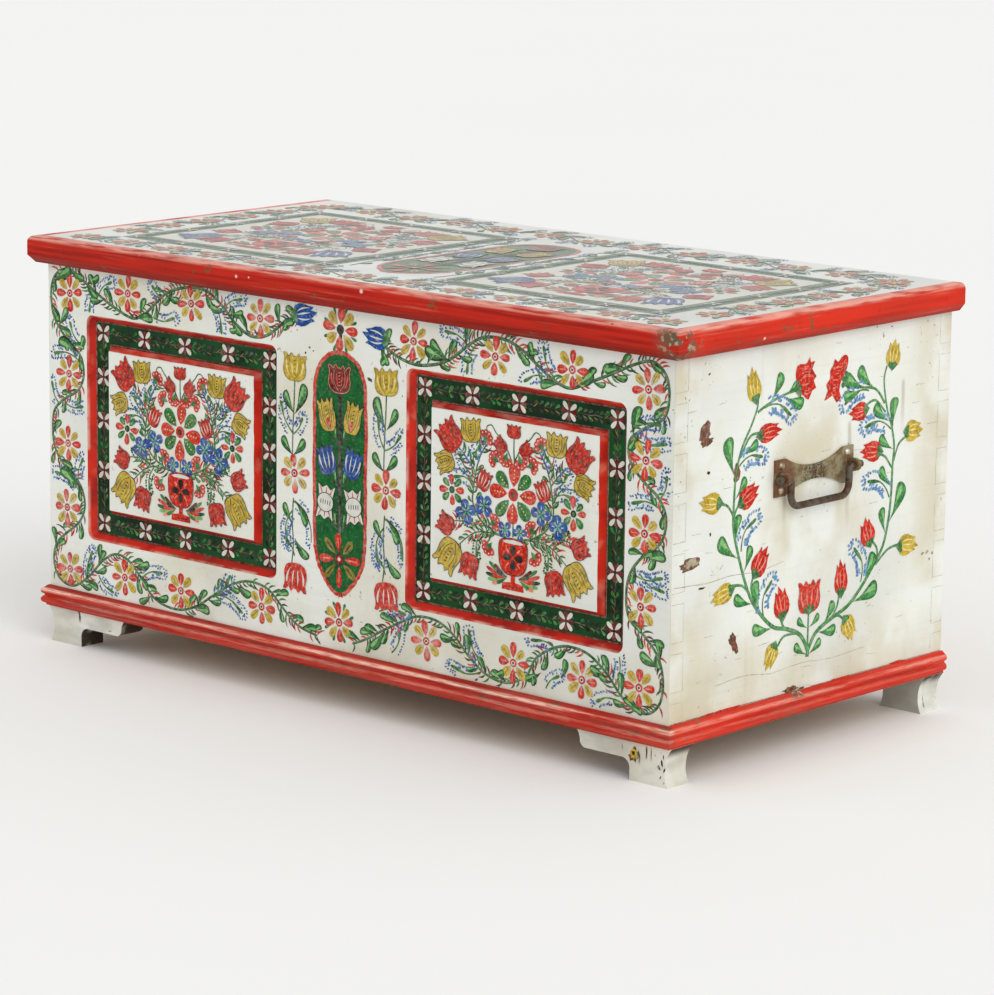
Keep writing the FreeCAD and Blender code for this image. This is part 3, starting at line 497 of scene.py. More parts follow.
# %% Dress the mouldings
KNOCKS = [
    (-221, -291, 552, 9), (23, -291, 538, 6), (-28, -291, 536, 6), (177, -291, 548, 12),
    (463, -291, 557, 7), (553, -291, 552, 10), (570, -177, 538, 8), (570, -90, 540, 9),
    (570, -141, 532, 7), (570, -37, 538, 6), (570, 56, 537, 6), (-420, -291, 532, 7), (340, -291, 530, 8),
    (-570, -60, 545, 10), (-570, 150, 534, 7),
]
SPECKS = [
    (55, -291, 552, 4), (-168, -291, 547, 3), (-145, -291, 548, 2), (570, -129, 534, 3), (-350, -291, 556, 2),
]
NEAR_CORNER = (572 * MM, -286 * MM, 556 * MM)
BASE_RUBS = [(556 * MM, place * MM, 79 * MM) for place in (-48, -36, -22)]


def rubbed_to_wood(f, colour):
    rubbed = f.near(NEAR_CORNER, 50 * MM)
    for place in BASE_RUBS:
        rubbed = f.most(rubbed, f.near(place, 11 * MM))
    rubbed = f.times(rubbed, f.patches(45.0, 0.44, 0.5, detail=6.0))
    colour = f.mix(rubbed, colour, srgb(104, 86, 68))
    return f.mix(f.times(rubbed, f.patches(120.0, 0.52, 0.6, detail=4.0)), colour, srgb(178, 160, 134))


def knocked(f, colour, places, ragged, tone):
    gone = 0.0
    for x, y, z, size in places:
        gone = f.most(gone, f.near((x * MM, y * MM, z * MM), size * MM))
    gone = f.times(gone, f.patches(90.0, ragged, ragged + 0.06, stretch=(1, 1, 2.5), detail=4.0))
    return f.mix(gone, colour, tone)


def moulding_finish():
    f = Finish("painted_moulding", 0.46, specular=0.1)
    in_front = f.step(f.y, FRONT + 2 * MM, FRONT - 2 * MM)
    ahead = f.most(in_front, ROUND_THE_SIDES)
    colour = worn_and_lit_base(f, moulding_red(f, in_front), in_front, ahead)
    colour = rubbed_to_wood(f, lid_edge_wear_and_light(f, colour, ahead))
    colour = knocked(f, colour, KNOCKS, 0.5, srgb(112, 84, 56))
    colour = knocked(f, colour, SPECKS, 0.36, srgb(226, 206, 190))
    return f.done(colour, f.noise(1.0, (9, 9, 200), 4.0), 0.5 * MM)


moulding_paint = moulding_finish()
dress(moulding_paint, *(name for name in nodes if name.endswith("_moulding")))

# %% [markdown]
# ### The feet
# The feet are the same white, greyer with dirt and cracked. Their inner edges, sawn to a curve, and the faces
# that look down are darker, and the rear feet's faces that look forward get painted shade. Which way a point
# of the surface looks decides.

# %% Dress the feet
FOOT_DIRT = srgb(172, 172, 162)
FOOT_CRACK = srgb(74, 66, 54)
FOOT_INWARD_DARK = srgb(66, 54, 44)
FOOT_BEHIND_SHADE = srgb(126, 124, 114)


def foot_finish():
    f = Finish("painted_foot", 0.55)
    colour = f.mix(f.patches(24.0, 0.4, 0.68, 0.5, (1, 1, 2), 6.0), aged_white(f), FOOT_DIRT)
    crack = f.times(f.patches(1.0, 0.66, 0.7, stretch=(90, 90, 14), detail=4.0), f.patches(20.0, 0.5, 0.6))
    colour = f.mix(crack, colour, FOOT_CRACK)
    out_x, out_y, out_z = f.facing()
    # Faces that look inwards or down are mixed darker.
    inward = f.step(f.times(out_x, f.sum("SIGN", f.x)), -0.1, -0.5)
    inward_or_down = f.most(inward, f.step(out_z, -0.3, -0.6))
    colour = f.mix(f.times(inward_or_down, f.patches(40.0, 0.2, 0.5, detail=6.0)), colour, FOOT_INWARD_DARK)
    # The rear feet's faces that look forward are given painted shade.
    behind = f.times(f.step(out_y, -0.2, -0.6), f.step(f.y, MIDDLE, MIDDLE + 100 * MM), 0.6)
    colour = f.mix(behind, colour, FOOT_BEHIND_SHADE)
    return f.done(colour, f.noise(60.0, detail=5.0), 0.6 * MM)


dress(foot_finish(), *(name for name in nodes if name.endswith("_foot")))

# %% [markdown]
# ### Plain pine inside
# The bottom planks, the lid's battens and the little till are bare pine, cut from boards with straight
# grain. Two finishes are enough: one for boards that lie along the chest and one for those that lie across
# it.


# %% Dress the bare pieces
def bare_board(name, grain, relief):
    f = Finish(name, 0.7)
    return f.done(bare_pine(f, grain), f.noise(1.0, relief, 5.0), 0.4 * MM)


bare_long = bare_board("bare_pine_long", "x", (6, 120, 120))
bare_short = bare_board("bare_pine_short", "y", (120, 6, 120))
dress(bare_long, "front_bottom_plank", "middle_bottom_plank", "rear_bottom_plank")
dress(bare_short, "till_side", "till_bottom", "front_till_cleat", "rear_till_cleat")
dress(bare_short, "left_lid_batten", "right_lid_batten")

# %% [markdown]
# ### Hammered iron
# Handles, hinges and lock were forged. The handle plates still carry a smear of old paint and grey-green
# dirt, the bails are darker from the hand, and the hidden iron is plain rust brown. The handles' screws are
# bright steel. One function makes the plain kinds; the plates, which wear unevenly, have their own.

# %% Dress the iron
HAMMERED, PITTED = 160.0, 0.7 * MM


def iron(name, body_tone, rust_tone, roughness, metallic):
    f = Finish(name, roughness, metallic)
    colour = f.mix(f.patches(70.0, 0.42, 0.62, detail=6.0), body_tone, rust_tone)
    colour = f.mix(f.patches(210.0, 0.56, 0.66, 0.75, detail=4.0), colour, srgb(44, 36, 28))
    return f.done(colour, f.noise(HAMMERED, detail=5.0), PITTED)


def plate_finish():
    """Grey-green with a worn black patch in the middle, and rust at the end that gets wet."""
    f = Finish("handle_plate_iron", 0.6, 0.25)
    colour = f.mix(f.patches(70.0, 0.42, 0.62, detail=6.0), srgb(152, 142, 112), srgb(122, 98, 66))
    wet_end = f.step(f.y, MIDDLE - 36 * MM, MIDDLE - 62 * MM)
    rusty = f.times(wet_end, f.patches(60.0, 0.3, 0.5, detail=5.0), 0.85)
    colour = f.mix(rusty, colour, srgb(118, 76, 52))
    middle = f.step(f.off(f.y, MIDDLE - 6 * MM), 32 * MM, 12 * MM)
    black = f.times(middle, f.patches(480.0, 0.4, 0.62, detail=5.0), 0.85)
    colour = f.mix(black, colour, srgb(40, 36, 28))
    colour = f.mix(f.patches(210.0, 0.58, 0.68, 0.7, detail=4.0), colour, srgb(60, 48, 34))
    return f.done(colour, f.noise(HAMMERED, detail=5.0), PITTED)


bail_iron = iron("bail_iron", srgb(98, 90, 78), srgb(84, 62, 44), 0.5, 0.45)
hidden_iron = iron("forged_iron", srgb(70, 64, 58), srgb(104, 66, 42), 0.6, 0.5)
steel = iron("screw_steel", srgb(206, 196, 176), srgb(150, 128, 98), 0.34, 0.7)
dress(plate_finish(), "left_handle_plate", "right_handle_plate")
dress(bail_iron, "left_bail", "right_bail")
dress(steel, "left_handle_screws", "right_handle_screws")
dress(hidden_iron, *(name for name in nodes if "hinge" in name or name.startswith("lock_")))

# %% [markdown]
# ## The painter's colours
# The flowers were painted freehand in a few bright colours, each put on wet with a loaded brush, so a
# stroke is full at its round end and thin at its foot. Each paint mixes towards the white ground where a
# stroke is thin, and shows the dark and light marks of the bristles. On the lid hands and cloths have
# rubbed the paint in streaks along the planks. How thin a stroke is, is kept on its points, so one material
# serves every stroke of a colour.

# %% Mix a paint
FULL_MARKS = 0.1
GROUND_SHOWS = srgb(222, 218, 204)


def brush_paint(name, tone, deep, worn, roughness, specular, rubbed_along):
    """A paint with bristle marks, thin where a stroke says so and rubbed through in patches."""
    f = Finish(name, roughness, specular=specular)
    colour = f.mix(f.patches(95.0, 0.3, 0.68, detail=4.0), deep, tone)
    bristle = f.noise(240.0)
    marks = min(1.0, worn / FULL_MARKS)
    colour = f.mix(f.times(f.step(bristle, 0.5, 0.36), 0.26 * marks), colour, srgb(44, 26, 18))
    colour = f.mix(f.times(f.step(bristle, 0.52, 0.68), 0.2 * marks), colour, srgb(238, 226, 204))
    attribute = f.nodes.new("ShaderNodeAttribute")
    attribute.attribute_name = "thin"
    thin = f.times(attribute.outputs["Fac"], f.patches(190.0, 0.24, 0.72, stretch=rubbed_along, detail=6.0))
    rub = f.patches(60.0, 0.6, 0.72, worn, rubbed_along, 6.0)
    return f.done(f.mix(f.most(thin, rub), colour, GROUND_SHOWS))


print("bristle marks are full from a wear of", FULL_MARKS)

# %% [markdown]
# ### The pots of paint
# Each pot has its colour, a deeper one where it lies thick, and how much it is worn. It comes in two coats,
# a brushed one for the case and a varnished one for the lid. A pot is mixed only when a stroke first needs
# it.

# %% The pots
TONES = {
    "red": (srgb(214, 44, 18), srgb(180, 26, 8), 0.1),
    "rose": (srgb(238, 132, 112), srgb(228, 104, 84), 0.1),
    "dark_red": (srgb(112, 22, 18), srgb(78, 14, 12), 0.05),
    "yellow": (srgb(208, 178, 56), srgb(176, 146, 34), 0.1),
    "straw": (srgb(240, 224, 150), srgb(228, 206, 116), 0.1),
    "olive": (srgb(146, 134, 40), srgb(112, 100, 26), 0.05),
    "green": (srgb(36, 124, 48), srgb(18, 90, 34), 0.1),
    "deep_green": (srgb(14, 62, 28), srgb(6, 36, 16), 0.05),
    "fresh_green": (srgb(56, 150, 70), srgb(34, 124, 52), 0.1),
    "pale_green": (srgb(128, 190, 112), srgb(100, 168, 92), 0.1),
    "ground": (srgb(12, 104, 44), srgb(8, 80, 34), 0.03),
    "blue": (srgb(26, 92, 172), srgb(14, 62, 130), 0.1),
    "sky": (srgb(88, 142, 190), srgb(58, 110, 168), 0.1),
    "mist": (srgb(126, 168, 202), srgb(98, 144, 188), 0.1),
    "white": (srgb(220, 220, 210), srgb(206, 206, 196), 0.0),
    "ink": (srgb(38, 28, 20), srgb(18, 12, 8), 0.0),
    "bare": (srgb(128, 78, 52), srgb(88, 52, 34), 0.1),
    "grime": (srgb(176, 166, 140), srgb(140, 128, 102), 0.3),
}
TONE_NAMES = list(TONES)
COATS = {
    "brushed": (0.48, 0.12, (1, 1, 1)),
    "varnished": (VARNISH_ROUGHNESS, VARNISH_SPECULAR, (0.12, 1, 1)),
}


def pot(coat, tone):
    """A paint in one kind of coat, mixed when it is first needed."""
    label = f"{coat}_{tone}"
    return bpy.data.materials.get(label) or brush_paint(label, *TONES[tone], *COATS[coat])


print(len(TONES), "paints to mix")

# %% [markdown]
# ## Brush strokes
# A stroke is a thin patch of paint laid on the face, a little above the coat below it: that is how the
# layers lie on the wood. A petal and a leaf are both a spoon shape, pressed from a narrow tail to a round
# end. The pattern could be a picture stretched over the chest; strokes of real paint stay crisp from near
# and need no picture.


# %% Shapes of a stroke
def outline_of(halves):
    """A closed shape one unit long and wide, from half widths at places up its length."""
    widest = 2 * max(half for half, place in halves)
    right = [(half / widest, place) for half, place in halves]
    return [(0, 0), *right, (0, 1), *((-w, t) for w, t in reversed(right))]


ROUND_END, CLOSER = 0.48, 1.8


def spoon(tail, count):
    """A spoon with a narrower tail for a larger number, and more points towards its round end."""
    places = [1 - (1 - k / count) ** CLOSER for k in range(1, count)]
    return outline_of([(t**tail * (1 - t) ** ROUND_END, t) for t in places])


PETAL = spoon(0.85, 8)
LEAF = spoon(1.5, 9)
LONG_LEAF = spoon(2.3, 10)
SPIKE = outline_of([(0.7, 0.2), (1.0, 0.4), (0.75, 0.65), (0.4, 0.85)])
DASH = outline_of([(0.8, 0.15), (1.0, 0.5), (0.8, 0.85)])
print("a petal has", len(PETAL), "points, a long leaf", len(LONG_LEAF))


# %% Curves and turns
def smooth(points, steps=5, closed=False):
    """A curve through points, as a brush would run through them."""
    count = len(points)
    path = []
    for k in range(count if closed else count - 1):
        places = (k - 1, k, k + 1, k + 2)
        picks = (place % count if closed else min(max(place, 0), count - 1) for place in places)
        a, b, c, d = (Vector(points[pick]) for pick in picks)
        for t in (step / steps for step in range(steps)):
            curve = 2 * b + (c - a) * t + (2 * a - 5 * b + 4 * c - d) * t**2
            path.append((curve + (3 * b - a - 3 * c + d) * t**3) / 2)
    return path if closed else [*path, Vector(points[-1])]


def turned(x, y, turn):
    """A point turned about the origin, anticlockwise in degrees."""
    c, s = math.cos(math.radians(turn)), math.sin(math.radians(turn))
    return Vector((x * c - y * s, x * s + y * c))


def polar(centre, radius, turn):
    """A point at a distance from a centre, the turn counted anticlockwise from straight up."""
    return Vector(centre) + turned(0, radius, turn)


print("a curve through three points has", len(smooth([(0, 0), (1, 1), (2, 0)])), "points")

# %% [markdown]
# ### A face to paint on
# All strokes on one face become a single thin piece that rides on its body, lid or case. Strokes that cross
# must not lie in one plane, or the render flickers between them. So the face is ruled into squares, and
# each stroke takes the lowest layer that is free in the squares it covers, a few thousandths of a
# millimetre above the last.


# %% Layers of paint
class Layers:
    """One flat face, measured in millimetres across and up, and the points of the paint on it."""

    first_coat = 0.2
    coat_step = 0.1
    layer_step = 0.003
    square = 16

    def __init__(self, name, body, origin, right, up, room=None, coat="brushed", wear=0.0):
        self.name = name
        self.body = body
        self.origin = Vector(origin)
        self.right = Vector(right)
        self.up = Vector(up)
        self.out = self.right.cross(self.up)
        self.room = room
        self.coat = coat
        self.wear = wear
        self.layers = {}
        self.points, self.faces, self.paints, self.thin = [], [], [], []

    def free_layer(self, spots, coat):
        """The lowest layer of a coat that is free over these spots."""
        columns = [int(x // self.square) for x, y in spots]
        rows = [int(y // self.square) for x, y in spots]
        cells = [(coat, column, row) for column in range(min(columns), max(columns) + 1)
                 for row in range(min(rows), max(rows) + 1)]
        taken = set().union(*(self.layers.setdefault(place, set()) for place in cells))
        free = min(set(range(len(taken) + 1)) - taken)
        for place in cells:
            self.layers[place].add(free)
        return free

    def add(self, spots, coat, thin):
        """Puts points on the face and says where they start."""
        start = len(self.points)
        lift = self.first_coat + self.coat_step * coat + self.layer_step * self.free_layer(spots, coat)
        for x, y in spots:
            self.points.append(self.origin + (self.right * x + self.up * y + self.out * lift) * MM)
        self.thin += [share + self.wear for share in thin]
        return start


print("coats of paint lie", Layers.coat_step, "mm apart")


# %% A face to paint on
class Canvas(Layers):
    """Gathers strokes on a face into a single thin piece."""

    most_worn = 0.12

    def patch(self, outline, paint, coat, thin=None):
        """A filled shape."""
        area = sum(a[0] * b[1] - a[1] * b[0] for a, b in zip(outline, [*outline[1:], outline[0]]))
        if thin is None:
            thin = [chance.uniform(0, self.most_worn)] * len(outline)
        if area < 0:
            outline, thin = outline[::-1], thin[::-1]
        start = self.add(outline, coat, thin)
        self.faces.append(list(range(start, start + len(outline))))
        self.paints.append(TONE_NAMES.index(paint))

    def stroke(self, foot, tip, width, paint, coat, shape=PETAL, bend=0.0, fade=0.15):
        """A single touch of the brush from foot to tip, left out where the face has no room for its tip."""
        if self.room and not self.room(*tip):
            return
        foot, along = Vector(foot), Vector(tip) - Vector(foot)
        across = Vector((along.y, -along.x))
        worn = chance.uniform(0, self.most_worn)
        sway = [w * width / along.length + bend * 4 * t * (1 - t) for w, t in shape]
        outline = [foot + along * t + across * off for (w, t), off in zip(shape, sway)]
        self.patch(outline, paint, coat, [worn + fade * (1 - t) for w, t in shape])

    def ribbon(self, path, width, paint, coat, end=None, closed=False, thin=0.15):
        """A line drawn along a path, as wide as the brush, that may run out to a finer end."""
        end = width if end is None else end
        count = len(path)
        spots = []
        for k, point in enumerate(path):
            before = path[k - 1] if closed or k else point
            after = path[(k + 1) % count] if closed or k + 1 < count else point
            along = (Vector(after) - Vector(before)).normalized()
            across = Vector((along.y, -along.x)) * (width + (end - width) * k / count) / 2
            spots += [Vector(point) + across, Vector(point) - across]
        start = self.add(spots, coat, [chance.uniform(0, 2 * thin) for _ in spots])
        for k in range(count if closed else count - 1):
            a, b = start + 2 * k, start + 2 * ((k + 1) % count)
            self.faces.append([a, b, b + 1, a + 1])
            self.paints.append(TONE_NAMES.index(paint))

    def done(self):
        """The strokes as one piece that rides on its body."""
        used = sorted(set(self.paints))
        mesh = bpy.data.meshes.new(self.name)
        mesh.from_pydata(self.points, [], self.faces)
        for index in used:
            mesh.materials.append(pot(self.coat, TONE_NAMES[index]))
        mesh.polygons.foreach_set("material_index", [used.index(index) for index in self.paints])
        mesh.attributes.new("thin", "FLOAT", "POINT").data.foreach_set("value", self.thin)
        piece = bpy.data.objects.new(self.name, mesh)
        bpy.context.scene.collection.objects.link(piece)
        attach(piece, self.body)
        print(self.name, "has", len(self.faces), "faces of paint")


# %% [markdown]
# ## The painter's motifs
# The same few motifs come back all over the chest: an eight-petalled daisy, tulips, leaves with a light
# stroke, sprigs set round with blue dabs, and stems fringed like grass. Each is drawn once here and placed
# many times, with a seeded chance in every stroke, because no two flowers of a freehand painter are the
# same.


# %% Daisy
def disc(c, centre, radius, paint, coat, count=10):
    c.patch([polar(centre, radius, 360 * k / count) for k in range(count)], paint, coat)


PETAL_DOTS = (0.42, 0.54, 0.66, 0.78)
HEART_SIZES, HEART_COATS = (0.22, 0.12, 0.07), (4, 5, 6)


def daisy(c, x, y, radius, even="red", odd="yellow", hearts=("red", "white", "dark_red"), fade=0.2,
          mark="olive", plump=1.0, dotted=False):
    """Eight petals, each with a line or a row of dots, round a heart of one disc on another."""
    start = chance.uniform(-6, 6)
    for k in range(8):
        turn = start + 45 * k + chance.uniform(-4, 4)
        reach = radius * chance.uniform(0.92, 1.08)
        paint, line = (odd, mark) if k % 2 else (even, "rose")
        width = radius * chance.uniform(0.36, 0.46) * plump
        pale = fade * chance.uniform(0.5, 1.5)
        c.stroke(polar((x, y), radius * 0.27, turn), polar((x, y), reach, turn), width, paint, 3, fade=pale)
        if dotted:
            for share in PETAL_DOTS:
                disc(c, polar((x, y), reach * share, turn), radius * 0.028, "straw", 4, 6)
        else:
            foot, tip = polar((x, y), reach * 0.42, turn), polar((x, y), reach * 0.86, turn)
            c.stroke(foot, tip, radius * 0.06, line, 4, DASH)
    for share, paint, coat in zip(HEART_SIZES, hearts, HEART_COATS):
        disc(c, (x, y), radius * share, paint, coat)


print("a daisy has eight petals and a heart of", len(HEART_SIZES), "discs")

# %% [markdown]
# ### Leaves and sprigs
# A leaf is three strokes: a dark one, a greener one on it, and a light one along one side, where the brush
# carried two paints at once. A sprig is a thin green stroke with a row of dabs down each side and round its
# end.

# %% Leaf
SHADY = ("deep_green", "green", "pale_green")
# SUNNY is a lighter copy of the SHADY greens for the wreaths on the sides: painted light of the more lit
# sides.
SUNNY = ("green", "fresh_green", "pale_green")


def leaf(c, x0, y0, x1, y1, wide=0.4, bend=0.06, shape=LEAF, tones=SHADY):
    foot, tip = Vector((x0, y0)), Vector((x1, y1))
    if c.room and not c.room(*tip):
        return
    width = (tip - foot).length * wide
    c.stroke(foot, tip, width, tones[0], 2, shape, bend, 0.05)
    c.stroke(foot.lerp(tip, 0.14), foot.lerp(tip, 0.97), width * 0.76, tones[1], 3, shape, bend, 0.0)
    c.stroke(foot.lerp(tip, 0.34), foot.lerp(tip, 0.93), width * 0.34, tones[2], 4, shape, bend * 0.2, 0.2)


print("leaves in", len(SHADY), "greens")

# %% Sprig
PALER = {"blue": "sky", "sky": "mist", "deep_green": "green"}


def sprig(c, x0, y0, x1, y1, bend=0.14, dots="blue", reach=6.8, plump=0.95):
    """A curved green stroke with a row of dabs down each side and round its end."""
    foot, along = Vector((x0, y0)), Vector((x1 - x0, y1 - y0))
    across = Vector((along.y, -along.x))
    count = max(6, round(along.length / 3.3))
    path = [foot + along * t + across * bend * 4 * t * (1 - t) for t in (k / count for k in range(count + 1))]
    c.ribbon(path, 2.2, "green", 1, 1.4)
    ahead = (path[-1] - path[-2]).normalized()
    c.stroke(path[count // 2], path[-1], 4.6, "green", 2, LEAF)

    def dab(root, away, near, far):
        start = root + away * reach * chance.uniform(near, far) + ahead * chance.uniform(-0.8, 0.8)
        lean = (away + ahead * chance.uniform(0.6, 1.0)).normalized()
        end = start + lean * chance.uniform(2.8, 4.6) * plump
        paint = chance.choice((dots, PALER[dots]))
        c.stroke(start, end, chance.uniform(2.0, 2.9) * plump**0.8, paint, 2, DASH, fade=0.0)

    for k in range(2, count):
        side = Vector((path[k + 1].y - path[k - 1].y, path[k - 1].x - path[k + 1].x)).normalized()
        for hand in (-1, 1):
            dab(path[k], side * hand, 0.86, 1.1)
            if chance.random() < 0.4:
                dab(path[k], side * hand, 0.35, 0.5)
    for turn in (-85, -51, -17, 17, 51, 85):
        dab(path[-1], turned(ahead.x, ahead.y, turn), 0.8, 1.05)
    for turn in (-40, 0, 40):
        dab(path[-1], turned(ahead.x, ahead.y, turn), 0.3, 0.45)


print("dabs pale from", ", ".join(f"{deep} to {pale}" for deep, pale in PALER.items()))

# %% [markdown]
# ### Stems
# A stem is drawn in two passes, a dark line with a greener one on it. Here and there it is fringed with
# fine red and green strokes like grass, in runs, as the brush was loaded. Leaves then follow it, now on one
# side, now on the other.

# %% Stem
FRINGE_GAP = 4.2
FRINGE_PAINTS = ("red", "red", "green", "green", "deep_green", "dark_red")


def stem(c, points, width=2.6, end=1.6, fringe=0.0, tones=SHADY):
    """A stem, with runs of grassy strokes on it where fringe is more than zero."""
    path = smooth(points)
    c.ribbon(path, width, tones[0], 1, end)
    c.ribbon([p + Vector((-0.25, 0.35)) for p in path], width * 0.6, tones[1], 2, end * 0.6)
    run, walked = 0, 0.0
    for a, b in zip(path, path[1:]):
        walked += (b - a).length
        if fringe == 0 or walked < FRINGE_GAP:
            continue
        walked = 0.0
        run = run - 1 if run > 0 else (chance.randint(4, 9) if chance.random() < fringe else 0)
        if run:
            ahead = (b - a).normalized()
            for hand in (-1, 1):
                lean = hand * chance.uniform(26, 58)
                tip = b + turned(ahead.x, ahead.y, lean) * chance.uniform(11, 15 + run)
                c.stroke(b, tip, 2.8, chance.choice(FRINGE_PAINTS), 1, SPIKE, -0.14 * hand, 0.1)


def leafy(c, points, gap, length, clear=None):
    """Leaves along a stem, now on one side and now on the other."""
    walked, hand = gap / 2, 1
    path = smooth(points)
    for a, b in zip(path, path[1:]):
        walked += (b - a).length
        if walked < gap:
            continue
        walked, hand = chance.uniform(0, gap * 0.3), -hand
        ahead = (b - a).normalized()
        lean = hand * chance.uniform(24, 46)
        tip = b + turned(ahead.x, ahead.y, lean) * length * chance.uniform(0.8, 1.25)
        if clear is None or clear(tip):
            leaf(c, *b, *tip, 0.36, -0.1 * hand)


print("fringe strokes", FRINGE_GAP, "mm apart")


# %% Leaves rooted on a stem
ROOT_REACH = 16


def rooted(line, roots, shortest=0.0):
    """A leaf's ends, with its foot on the nearest stem point if one is near, drawn out if it is short."""
    foot, tip = Vector(line[:2]), Vector(line[2:])
    root = min(roots, key=lambda point: (point - foot).length)
    if (root - foot).length < ROOT_REACH:
        foot = root
    along = tip - foot
    return (*foot, *(foot + along * max(1.0, shortest / along.length)))


print("a leaf is rooted on a stem within", ROOT_REACH, "mm")

# %% [markdown]
# ### Tulips
# A tulip is a round cup with flaring tips. The big ones are outlined and veined with a row of dashes. Half
# of the cup's edge is given and mirrored, and a curve through the points gives it the swing of a brush.

# %% Tulip
TULIP_SIDE = [(0.2, 0), (0.38, 0.08), (0.48, 0.24), (0.5, 0.44), (0.46, 0.64), (0.47, 0.8), (0.52, 0.94)]
TULIP_SIDE += [(0.38, 0.92), (0.28, 0.82), (0.17, 0.99), (0.07, 0.86)]


def tulip(c, x, y, wide, tall, turn, paint, line="ink", dashes=4, streak=None):
    """A cup with an outline, two inner lines, streaks if it has any, and dashes up its middle."""
    def at(px, py):
        return Vector((x, y)) + turned(px * wide, (py - 0.5) * tall, turn)

    shape = [(0, 0), *TULIP_SIDE, (0, 0.88), *((-px, py) for px, py in reversed(TULIP_SIDE))]
    rim = smooth([at(px, py + chance.uniform(-0.02, 0.02)) for px, py in shape], 2, True)
    c.patch(rim, paint, 4, [chance.uniform(0, 0.1)] * len(rim))
    c.ribbon(rim, 0.9, line, 6, closed=True)
    for hand in (-1, 1):
        inner = smooth([at(0.03 * hand, 0.05), at(0.25 * hand, 0.36), at(0.24 * hand, 0.8)], 4)
        c.ribbon(inner, 0.8, line, 6)
        if streak:
            c.stroke(at(0.2 * hand, 0.12), at(0.38 * hand, 0.7), wide * 0.08, streak, 5, LEAF, 0.1 * hand)
            c.stroke(at(0.07 * hand, 0.2), at(0.12 * hand, 0.78), wide * 0.06, streak, 5, SPIKE, 0.04 * hand)
    for k in range(dashes):
        level = 0.24 + 0.46 * k / max(dashes - 1, 1)
        c.stroke(at(-0.05, level), at(0.06, level + 0.03), 1.3, line, 7, DASH, fade=0)


print("half a tulip has", len(TULIP_SIDE), "points")

# %% [markdown]
# ### Buds and pinks
# The buds on the sides have only a few lighter streaks and a green cup. The pinks are little round heads
# with white dots. Both are small, so a few strokes make them and no outline is drawn.

# %% Bud and pink
BUD_SIDE = [(0.18, 0), (0.4, 0.1), (0.5, 0.28), (0.47, 0.48), (0.36, 0.66), (0.3, 0.86), (0.17, 0.74)]


def bud(c, x, y, wide, tall, turn, paint, streak):
    """A pointed flower with three streaks in a cup of three green leaves."""
    def at(px, py):
        return Vector((x, y)) + turned(px * wide, (py - 0.5) * tall, turn)

    lean = chance.uniform(-0.16, 0.16)
    shape = [(0, 0), *BUD_SIDE, (lean, 1), *((-px, py) for px, py in reversed(BUD_SIDE))]
    c.patch([at(px, py) for px, py in shape], paint, 4, [0.0] * len(shape))
    for px in (-0.24, -0.04, 0.2):
        c.stroke(at(px * 0.6, 0.16), at(px + lean * 0.5, 0.72), wide * 0.08, streak, 5, SPIKE, px * 0.4)
    for px in (-0.24, 0, 0.24):
        c.stroke(at(0, -0.14), at(px, 0.17), wide * 0.22, "green", 6, LEAF)


def pink(c, x, y, size, turn):
    """Five red petals in a fan, each with a white dot, and a green cup below."""
    for k in range(5):
        spread = turn + 36 * (k - 2)
        c.stroke((x, y), polar((x, y), size, spread), size * 0.66, "red", 4)
        disc(c, polar((x, y), size * 0.74, spread), size * 0.09, "white", 6, 6)
        c.stroke((x, y), polar((x, y), size * 0.66, spread + 18), size * 0.1, "dark_red", 5, SPIKE)
    foot = polar((x, y), size * 0.6, turn + 180)
    for spread in (-34, 0, 34):
        c.stroke(foot, polar((x, y), size * 0.3, turn + spread), size * 0.3, "green", 6, LEAF)


print("half a bud has", len(BUD_SIDE), "points")

# %% [markdown]
# ### Frilled flowers and white buds
# At the top of each wreath are two full red flowers with ragged edges, unlike each other, so each has its
# own outline. The oval has white buds instead: a round body with petals that flare above and below it.

# %% Frilled flower
LEFT_FRILL = [
    (-0.46, 0.3), (-0.3, 0.37), (-0.06, 0.35), (0.07, 0.4), (0.17, 0.5), (0.21, 0.37), (0.42, 0.38),
    (0.29, 0.21), (0.5, 0.02), (0.37, -0.07), (0.5, -0.25), (0.31, -0.3), (0.14, -0.5), (-0.09, -0.39),
    (-0.3, -0.28), (-0.43, -0.07), (-0.5, 0.12),
]
RIGHT_FRILL = [
    (-0.08, 0.45), (0.06, 0.37), (0.23, 0.47), (0.38, 0.5), (0.5, 0.43), (0.48, 0.24), (0.35, 0.08),
    (0.21, -0.04), (0.14, -0.26), (0.22, -0.4), (0.04, -0.5), (-0.13, -0.34), (-0.28, -0.36),
    (-0.5, -0.41), (-0.36, -0.21), (-0.44, -0.08), (-0.27, 0.04), (-0.28, 0.21), (-0.15, 0.32),
]


def frilled(c, x, y, wide, tall, outline):
    """A full red flower with a ragged edge and light curls in it."""
    rim = smooth([(x + px * wide, y + py * tall) for px, py in outline], 2, True)
    c.patch(rim, "red", 4, [0.0] * len(rim))
    for k in range(11):
        level = y + tall * (0.066 * k - 0.36)
        inside = [p.x for p in rim if abs(p.y - level) < tall * 0.07]
        start = Vector((min(inside) + wide * chance.uniform(0.14, 0.3), level))
        end = Vector((max(inside) - wide * chance.uniform(0.14, 0.28), level + chance.uniform(-1, 2)))
        c.stroke(start, end, 1.1, "rose", 5, SPIKE, chance.choice((-0.16, 0.16)))


print("frilled outlines of", len(LEFT_FRILL), "and", len(RIGHT_FRILL), "points")

# %% White bud
FLARE = [(-0.38, 0.12), (-0.5, 0.5), (-0.24, 0.4), (0, 0.5), (0.24, 0.38), (0.5, 0.5), (0.38, 0.12)]
BODY_POINTS = 18


